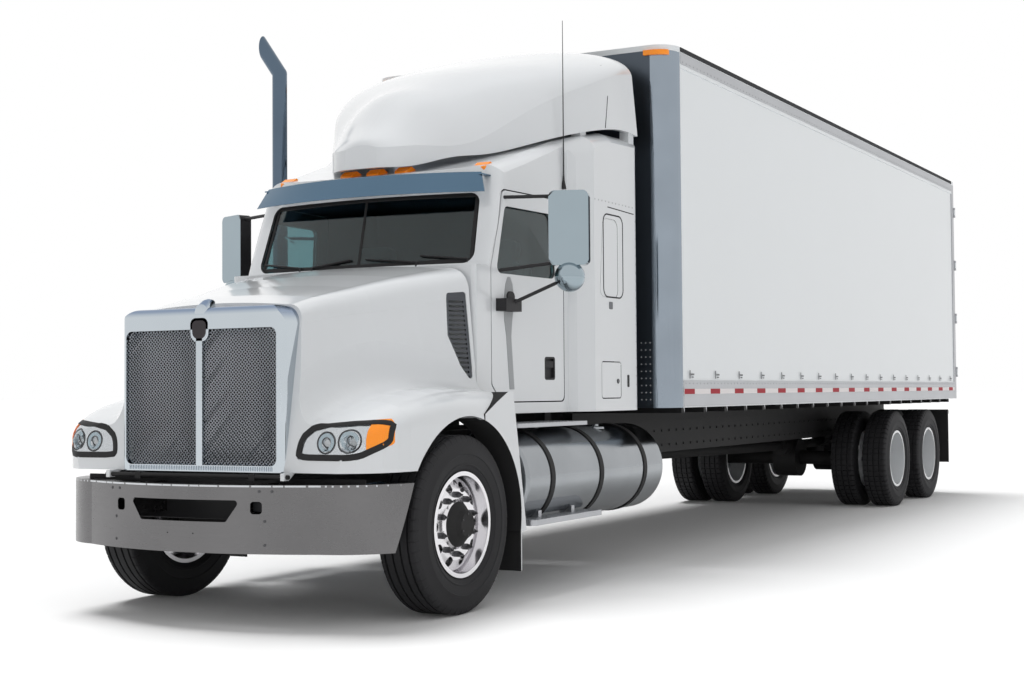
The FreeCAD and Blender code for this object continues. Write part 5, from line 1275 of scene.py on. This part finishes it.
@dataclass
class Windscreen:
    """The screen's rubber, its middle strip and the wipers, each from its pivot to its tip."""

    corners: Outline = (
        (-0.805, 2.070), (-0.40, 2.062), (0.0, 2.060), (0.40, 2.062), (0.805, 2.070),
        (0.790, 2.28), (0.775, 2.488), (0.39, 2.490), (0.0, 2.492), (-0.39, 2.490),
        (-0.775, 2.488), (-0.790, 2.28))
    band: Pair = (0.026, 0.005)
    middle: Pair = (2.062, 2.49)
    middle_band: Pair = (0.018, 0.004)
    wipers: tuple[tuple[Pair, Pair], ...] = (
        ((0.44, 2.064), (0.06, 2.100)), ((0.79, 2.072), (0.46, 2.106)),
        ((-0.36, 2.064), (-0.06, 2.102)), ((-0.46, 2.066), (-0.79, 2.106)))
    arm: float = 0.005
    pivot: float = 0.008
    pivot_drop: Place = (0, -0.02, -0.03)
    stand: float = 0.016
    blade: Pair = (0.010, 0.006)
    blade_stand: float = 0.005

    def along(self, skin: Skin, start: Pair, end: Pair,
              count: int) -> list[Spot]:
        """Spots on the glass along a straight line seen from the front."""
        return [skin.front(start[0] + (end[0] - start[0]) * s, start[1] + (end[1] - start[1]) * s)
                for s in between(0, 1, count)]

    def build(self) -> None:
        """Lays the rubber and the wipers on the glass."""
        skin = Skin("windscreen")
        rubber, wipers = Shape(), Shape()
        for start, end in zip(self.corners, self.corners[1:] + self.corners[:1]):
            rubber.strip(self.along(skin, start, end, 6), *self.band)
        low, high = self.middle
        rubber.strip(self.along(skin, (0.0, low), (0.0, high), 9), *self.middle_band)
        rubber.piece("screen_rubber", RUBBER, smooth=40)
        for start, end in self.wipers:
            spots = self.along(skin, start, end, 8)
            raised = [p + n * self.stand for p, n in spots]
            wipers.tube(raised, self.arm, 6)
            wipers.strip([(p + n * self.blade_stand, n) for p, n in spots], *self.blade)
            wipers.tube([raised[0], spots[0][0] + Vector(self.pivot_drop)], self.pivot, 8)
        wipers.piece("wipers", PLASTIC, smooth=40)


@dataclass
class CabTrim:
    """Door strips, mirror feet, sleeper seams and rivets, locks, vents and the aerial.

    A plate is a place along the truck and a height, a width and a height of its own, the turn
    of its corners, and how far it stands out of and reaches into the flank.
    """

    door_strip: Outline = (
        (0.835, 1.972), (0.860, 1.972), (0.885, 1.93), (0.905, 1.83), (0.880, 1.70),
        (0.868, 1.60), (0.900, 1.27), (0.850, 1.27), (0.815, 1.60), (0.795, 1.70),
        (0.790, 1.83), (0.812, 1.93))
    strip_rise: float = 0.003
    foot: tuple[float, ...] = (0.858, 1.825, 0.085, 0.115, 0.034, 0.012)
    latch: tuple[float, ...] = (2.191, 1.324, 0.026, 0.085, 0.006, 0.004)
    vent: tuple[float, ...] = (1.927, 1.838, 0.05, 0.05, 0.008, 0.004)
    window: tuple[float, ...] = (1.970, 2.178, 0.300, 0.565, 0.06)
    window_seam: Pair = (0.0098, 0.002)
    level: Outline = ((1.640, 2.517), (1.90, 2.510), (2.30, 2.500))
    fairing: Outline = ((2.07, 3.53), (2.00, 3.29), (1.93, 3.06))
    seam: Pair = (0.007, 0.0015)
    rivet: Pair = (0.0055, 0.003)
    rivet_row: Place = (1.70, 2.28, 2.545)
    rivet_column: Place = (1.30, 2.45, 2.325)
    lock: Pair = (2.028, 1.322)
    lock_size: Pair = (0.017, 0.006)
    aerial: Place = (0.975, 1.53, 2.60)
    aerial_profile: Outline = ((0.0, 0.018), (0.02, 0.016), (0.06, 0.008), (0.10, 0.0045),
                               (0.678, 0.0035), (1.13, 0.002))

    def patch(self, skin: Skin, points: Sequence[Pair], sign: int,
              rise: float) -> Shape:
        """A flat plate whose outline lies on a flank."""
        push = Vector((sign * rise, 0, 0))
        return Shape().prism([skin.side(y, z, sign)[0] - push for y, z in points], push * 2)

    def plate(self, skin: Skin, values: Sequence[float], sign: int) -> Shape:
        """A plate with round corners on a flank."""
        y, z, width, height, turn, rise = values
        outline = [(y + a, z + c) for a, c in rounded(width, height, turn)]
        return self.patch(skin, outline, sign, rise)

    def build(self) -> None:
        """Makes the trim of both sides."""
        sleeper = Skin("sleeper_shell", "roof_fairing")
        seams, rivets = Shape(), Shape()
        for side, sign in SIDES.items():
            body, door = "door_" + side, Skin(f"door_{side}_panel")
            self.patch(door, self.door_strip, sign, self.strip_rise).piece(
                "door_strip_" + side, FILLET, body)
            self.plate(door, self.foot, sign).piece("mirror_foot_" + side, PLASTIC, body,
                                                    bevel=0.003)
            self.plate(sleeper, self.latch, sign).piece("luggage_latch_" + side, PLASTIC,
                                                        bevel=0.001)
            y, z, width, height, turn = self.window
            seams.strip([sleeper.side(y + a, z + c, sign)
                         for a, c in rounded(width, height, turn, 8)],
                        *self.window_seam, closed=True)
            for line in (self.level, self.fairing):
                seams.strip([sleeper.side(*place, sign) for place in line], *self.seam)
            start, end, height = self.rivet_row
            low, high, back = self.rivet_column
            for place in ([(y, height) for y in between(start, end, 12)]
                          + [(back, z) for z in between(low, high, 20)]):
                rivets.stud(*sleeper.side(*place, sign), *self.rivet, 8)
            luggage = "luggage_door_" + side
            Shape().stud(*Skin(luggage).side(*self.lock, sign), *self.lock_size, 20, 0.8).piece(
                "luggage_lock_" + side, BOLT, luggage)
            self.plate(sleeper, self.vent, sign).piece("sleeper_vent_" + side, TRIM,
                                                       bevel=0.001)
        seams.piece("sleeper_seams", SEAM, smooth=50)
        rivets.piece("sleeper_rivets", PLATE, smooth=40)
        x, y, low = self.aerial
        Shape().turned(self.aerial_profile, Vector((x, at(y), low)), UP, 12).piece(
            "aerial", PLASTIC, smooth=40)


@dataclass
class BodyTrim:
    """Rails, tape, rivets and edge strips of the van body."""

    out: float = 1.295
    start: float = 2.752
    end: float = 10.915
    lower: Pair = (1.136, 1.328)
    upper: Pair = (3.640, 3.722)
    rail_rise: float = 0.003
    beads: tuple[float, ...] = (1.140, 1.322, 1.218, 1.272)
    bead_rise: float = 0.006
    tape: Pair = (1.228, 1.266)
    tape_rise: float = 0.0045
    roof: Pair = (3.730, 3.762)
    roof_rise: float = 0.004
    rivet: Pair = (0.006, 0.003)
    rivets: int = 120
    rivet_from: float = 0.04
    rivet_rows: Pair = (1.306, 3.658)
    marks: int = 17
    mark_from: float = 0.12
    mark_pitch: float = 0.49
    mark_rise: float = 0.002
    mark_bars: tuple[tuple[float, ...], ...] = (
        (0.0, 1.372, 0.010, 0.060), (0.050, 1.372, 0.050, 0.012), (0.050, 1.352, 0.030, 0.008))
    wall: float = 2.58
    wall_across: Pair = (1.04, 1.11)
    wall_heights: Pair = (1.19, 1.60)
    wall_rivet: Pair = (0.006, 0.004)

    def slab(self, shape: Shape, sign: int, y: Sequence[float], z: Sequence[float],
             rise: float) -> None:
        """Adds a flat bar to a flank, between two places along it and two heights."""
        xs = sorted((sign * (self.out - SUNK), sign * (self.out + rise)))
        shape.bar((xs[0], y[0], z[0]), (xs[1], y[1], z[1]))

    def build(self) -> None:
        """Makes the trim of both sides and the front."""
        rails, tape, dark, rivets, marks = (Shape() for _ in range(5))
        ends = at(self.start), at(self.end)
        for sign in (1, -1):
            self.slab(rails, sign, ends, self.lower, self.rail_rise)
            self.slab(rails, sign, ends, self.upper, self.rail_rise)
            for z in self.beads:
                self.slab(rails, sign, ends, (z - self.bead_rise / 2, z + self.bead_rise / 2),
                          self.bead_rise)
            self.slab(tape, sign, ends, self.tape, self.tape_rise)
            self.slab(dark, sign, ends, self.roof, self.roof_rise)
            for y in between(ends[0] + self.rivet_from, ends[1] - self.rivet_from, self.rivets):
                for z in self.rivet_rows:
                    rivets.stud(Vector((sign * (self.out + self.rail_rise), y, z)),
                                Vector((sign, 0, 0)), *self.rivet)
            for i in range(self.marks):
                y = ends[0] + self.mark_from + i * self.mark_pitch
                for back, z, wide, high in self.mark_bars:
                    self.slab(marks, sign, (y + back - wide / 2, y + back + wide / 2),
                              (z - high / 2, z + high / 2), self.mark_rise)
            for x in between(*self.wall_across, 3):
                for z in between(*self.wall_heights, 9):
                    rivets.stud(Vector((sign * x, at(self.wall), z)), -BACK, *self.wall_rivet)
        rails.piece("body_rails", PLATE)
        tape.piece("body_tape", TAPE)
        dark.piece("roof_edges", SEAM)
        rivets.piece("body_rivets", PLATE, smooth=40)
        marks.piece("body_marks", TRIM)


@dataclass
class RearTrim:
    """Lock rods, their handles and their guides on the cargo doors."""

    rods: Pair = (0.20, 1.05)
    rod: float = 0.008
    rod_out: float = 0.012
    rod_furthest: float = 6.051
    ends: Pair = (1.30, 3.53)
    handle: Outline = ((0.0, 1.62), (0.06, 1.63), (0.26, 1.60))
    handle_radius: float = 0.0064
    guides: tuple[float, ...] = (1.36, 1.95, 2.55, 3.10, 3.47)
    guide: Place = (0.07, 0.045, 0.008)
    guide_sunk: float = 0.002
    aim: Pair = (9.0, 2.3)

    def build(self) -> None:
        """Dresses both doors."""
        for side, sign in SIDES.items():
            node = "cargo_door_" + side
            skin = Skin(node)
            rods, holders = Shape(), Shape()
            for x in self.rods:
                face = skin.cast(Vector((sign * x, *self.aim)), -BACK)[0].y
                y = min(face + self.rod_out, self.rod_furthest)
                rods.tube([Vector((sign * x, y, z)) for z in self.ends], self.rod, 10)
                rods.tube([Vector((sign * (x - inward), y, z)) for inward, z in self.handle],
                          self.handle_radius, 8)
                for z in self.guides:
                    outline = [Vector((sign * x + a, face - self.guide_sunk, z + c))
                               for a, c in rounded(*self.guide)]
                    holders.prism(outline, BACK * (y - face + 2 * self.guide_sunk))
            rods.piece("lock_rods_" + side, STAINLESS, node, 40)
            holders.piece("rod_guides_" + side, PLATE, node, bevel=0.002)


@dataclass
class Under:
    """Step treads, a tank cap and frame bolts.

    A tread has two places across, two along and the height of its top. The cap is a place
    across, a place along and a radius.
    """

    treads: tuple[tuple[float, ...], ...] = (
        (0.800, 1.085, 0.74, 1.61, 1.059), (0.995, 1.185, 0.74, 1.61, 0.515))
    bead: Pair = (0.007, 0.002)
    bead_pitch: float = 0.045
    clearance: float = 0.05
    cap: Place = (0.93, 2.05, 0.062)
    cap_sunk: float = 0.012
    cap_profile: Outline = ((-0.004, 1.0), (0.010, 1.0), (0.014, 0.92), (0.016, 0.4),
                            (0.030, 0.36), (0.032, 0.0645))
    bolt: Pair = (0.011, 0.008)
    bolts: int = 54
    bolt_ends: Pair = (2.6, 10.6)
    bolt_heights: Pair = (0.80, 0.92)
    flat: float = 0.9

    def tread_beads(self) -> Shape:
        """The round beads on the flat tops of the steps."""
        beads, tree = Shape(), Skin("cab_steps").tree
        for x0, x1, y0, y1, top in self.treads:
            for x in between(x0, x1, int((x1 - x0) / self.bead_pitch) + 1):
                for y in between(y0, y1, int((y1 - y0) / self.bead_pitch) + 1):
                    hit, way, _, _ = tree.ray_cast(Vector((x, at(y), top + self.clearance)), -UP)
                    if hit is not None and way.z > self.flat:
                        beads.stud(hit, way, *self.bead, 10)
        return beads

    def frame_bolts(self) -> Shape:
        """Two rows of bolt heads on the outside of both frame rails."""
        bolts, skin = Shape(), Skin("chassis_frame")
        for sign in (1, -1):
            out = Vector((sign, 0, 0))
            for y in between(*self.bolt_ends, self.bolts):
                for z in self.bolt_heights:
                    hit, way, _, _ = skin.tree.ray_cast(
                        Vector((sign * skin.beside, at(y), z)), -out)
                    if hit is not None and abs(way.x) > self.flat:
                        bolts.stud(hit, out, *self.bolt)
        return bolts

    def build(self) -> None:
        """Adds the small hardware below the cab and along the frame."""
        self.tread_beads().piece("step_treads", PLATE, smooth=40)
        x, y, radius = self.cap
        spot, _ = Skin("fuel_tanks").top(x, y)
        Shape().turned([(rise, radius * share) for rise, share in self.cap_profile],
                       spot - UP * self.cap_sunk, UP, 28).piece(
            "tank_cap", TANK, smooth=40, bevel=0.001)
        self.frame_bolts().piece("frame_bolts", BLACK, smooth=40)


@dataclass
class Cushions:
    """Seats and the bunk as filled cushions on plain bases, split at a height."""

    split: dict[str, float] = field(default_factory=lambda: {"seats": 1.415,
                                                             "sleeper_bunk": 1.50})
    voxel: float = 0.018
    swell: float = 4.0
    most: float = 0.012
    frames: int = 16
    fill: float = 0.7

    @staticmethod
    def bake(made: bpy.types.Object) -> None:
        """Applies the object's modifiers."""
        graph = bpy.context.evaluated_depsgraph_get()
        mesh = bpy.data.meshes.new_from_object(made.evaluated_get(graph))
        made.modifiers.clear()
        made.data = mesh

    def puff(self, made: bpy.types.Object) -> None:
        """Rounds a block into a filled cushion."""
        remesh = made.modifiers.new("remesh", "REMESH")
        remesh.mode, remesh.voxel_size = "VOXEL", self.voxel
        self.bake(made)
        start = [v.co.copy() for v in made.data.vertices]
        cloth = made.modifiers.new("cloth", "CLOTH").settings
        cloth.use_pressure, cloth.uniform_pressure_force = True, self.swell
        cloth.effector_weights.gravity = 0.0
        scene = bpy.context.scene
        for number in range(1, self.frames + 1):
            scene.frame_set(number)
        self.bake(made)
        scene.frame_set(1)
        for vertex, old in zip(made.data.vertices, start):
            move = vertex.co - old
            if move.length > self.most:
                vertex.co = old + move.normalized() * self.most
        made.data.materials.clear()
        made.data.materials.append(CLOTH.material())
        made.data.shade_smooth()

    def build(self) -> None:
        """Makes the cushions and their bases."""
        bases = Shape()
        for node, height in self.split.items():
            for number, solid in enumerate(solids_of(node)):
                base, pad = (part.closed() for part in solid.cut_at(UP * height, UP))
                bases.joined(base)
                made = pad.piece(f"cushion_{node}_{number}", CLOTH, instead=[node])
                self.puff(made)
        bases.piece("seat_bases", PLASTIC, instead=list(self.split))


@dataclass
class Sun:
    """One broad, even lamp: the direction it stands in, its power and its angle."""

    name: str
    way: Place
    power: float
    angle: float

    def build(self) -> None:
        """Adds the lamp, which no glossy surface mirrors."""
        data = bpy.data.lights.new(self.name, "SUN")
        data.energy, data.angle = self.power, math.radians(self.angle)
        made = added(self.name, data)
        made.matrix_world = Vector(self.way).to_track_quat("Z", "Y").to_matrix().to_4x4()
        made.visible_glossy = False


@dataclass
class Studio:
    """Pale floor, soft lamps, white surroundings and the camera of the photograph."""

    camera_place: Place = (5.68309, -12.31093, 1.25117)
    yaw: float = 26.726
    pitch: float = 1.921
    roll: float = -0.520
    focal_px: float = 1509.994
    centre_px: float = 600.0
    frame_px: int = 1024
    sensor: float = 36.0
    clip: Pair = (0.1, 2000.0)
    suns: tuple[Sun, ...] = (Sun("top", (-0.25, 0.10, 0.96), 2.25, 30.0),
                             Sun("key", (0.55, -0.50, 0.67), 1.05, 80.0))
    ambient: float = 0.22
    floor_half: float = 400.0
    floor_tone: float = 0.93
    floor_grain: float = 0.01
    floor_grain_scale: float = 3.0
    floor_lift: float = 0.02

    def camera(self) -> None:
        """Sets the camera at the photograph's viewing angle."""
        data = bpy.data.cameras.new("camera")
        data.sensor_width = self.sensor
        data.lens = self.focal_px / self.frame_px * self.sensor
        data.shift_x = (self.frame_px / 2 - self.centre_px) / self.frame_px
        data.clip_start, data.clip_end = self.clip
        made = added("camera", data)
        place = Matrix.Translation(self.camera_place)
        for angle, axis in ((self.yaw, "Z"), (90 + self.pitch, "X"), (self.roll, "Z")):
            place = place @ Matrix.Rotation(math.radians(angle), 4, axis)
        made.matrix_world = place
        bpy.context.scene.camera = made

    @staticmethod
    def seen(graph: Graph) -> Sock:
        """1 for what the camera sees, straight, mirrored or through glass."""
        camera, glossy, through = (graph.node("ShaderNodeLightPath", output=f"Is {name} Ray")
                                   for name in ("Camera", "Glossy", "Transmission"))
        return graph.math("MINIMUM", camera + glossy + through, 1.0)

    def world(self) -> None:
        """White surroundings that light the object at a plain level."""
        world = bpy.data.worlds.new("surroundings")
        bpy.context.scene.world = world
        graph = Graph(world)
        color = graph.mix(self.seen(graph), (self.ambient,) * 3, (1.0, 1.0, 1.0))
        graph.node("ShaderNodeOutputWorld", None, {"Surface": graph.node(
            "ShaderNodeBackground", None, {"Color": color, "Strength": 1.0})})

    def floor(self) -> None:
        """A pale floor that keeps the shadow and is white where nothing shades it."""
        mesh = bpy.data.meshes.new("floor")
        mesh.from_pydata([(x * self.floor_half, y * self.floor_half, 0) for x, y in
                          ((-1, -1), (1, -1), (1, 1), (-1, 1))], [], [(0, 1, 2, 3)])
        material = bpy.data.materials.new("floor_pale")
        graph = Graph(material)
        tones = ((self.floor_tone,) * 3, (self.floor_tone + self.floor_grain,) * 3)
        shader = graph.node("ShaderNodeBsdfPrincipled", None, {
            "Base Color": graph.mix(graph.noise(self.floor_grain_scale, 3), *tones),
            "Roughness": 0.9, "Specular IOR Level": 0.1, "Emission Strength": 1.0,
            "Emission Color": graph.mix(self.seen(graph), (0.0,) * 3, (self.floor_lift,) * 3)})
        graph.node("ShaderNodeOutputMaterial", None, {"Surface": shader})
        mesh.materials.append(material)
        added("floor", mesh)

    def build(self) -> None:
        """Sets up the whole studio."""
        bpy.context.scene.view_settings.view_transform = "Standard"
        self.camera()
        self.world()
        self.floor()
        for sun in self.suns:
            sun.build()


def main() -> None:
    """Builds every sub-assembly in order and then the studio."""
    logging.basicConfig(level=logging.INFO, format="%(message)s")
    for part in (Plain(), Parted(), Tyres(), Wheels(), Grille(), Nose(), Headlamps(), Lamps(),
                 Bumper(), Windscreen(), CabTrim(), BodyTrim(), RearTrim(), Under(), Cushions(),
                 Studio()):
        part.build()


if __name__ == "__main__":
    main()
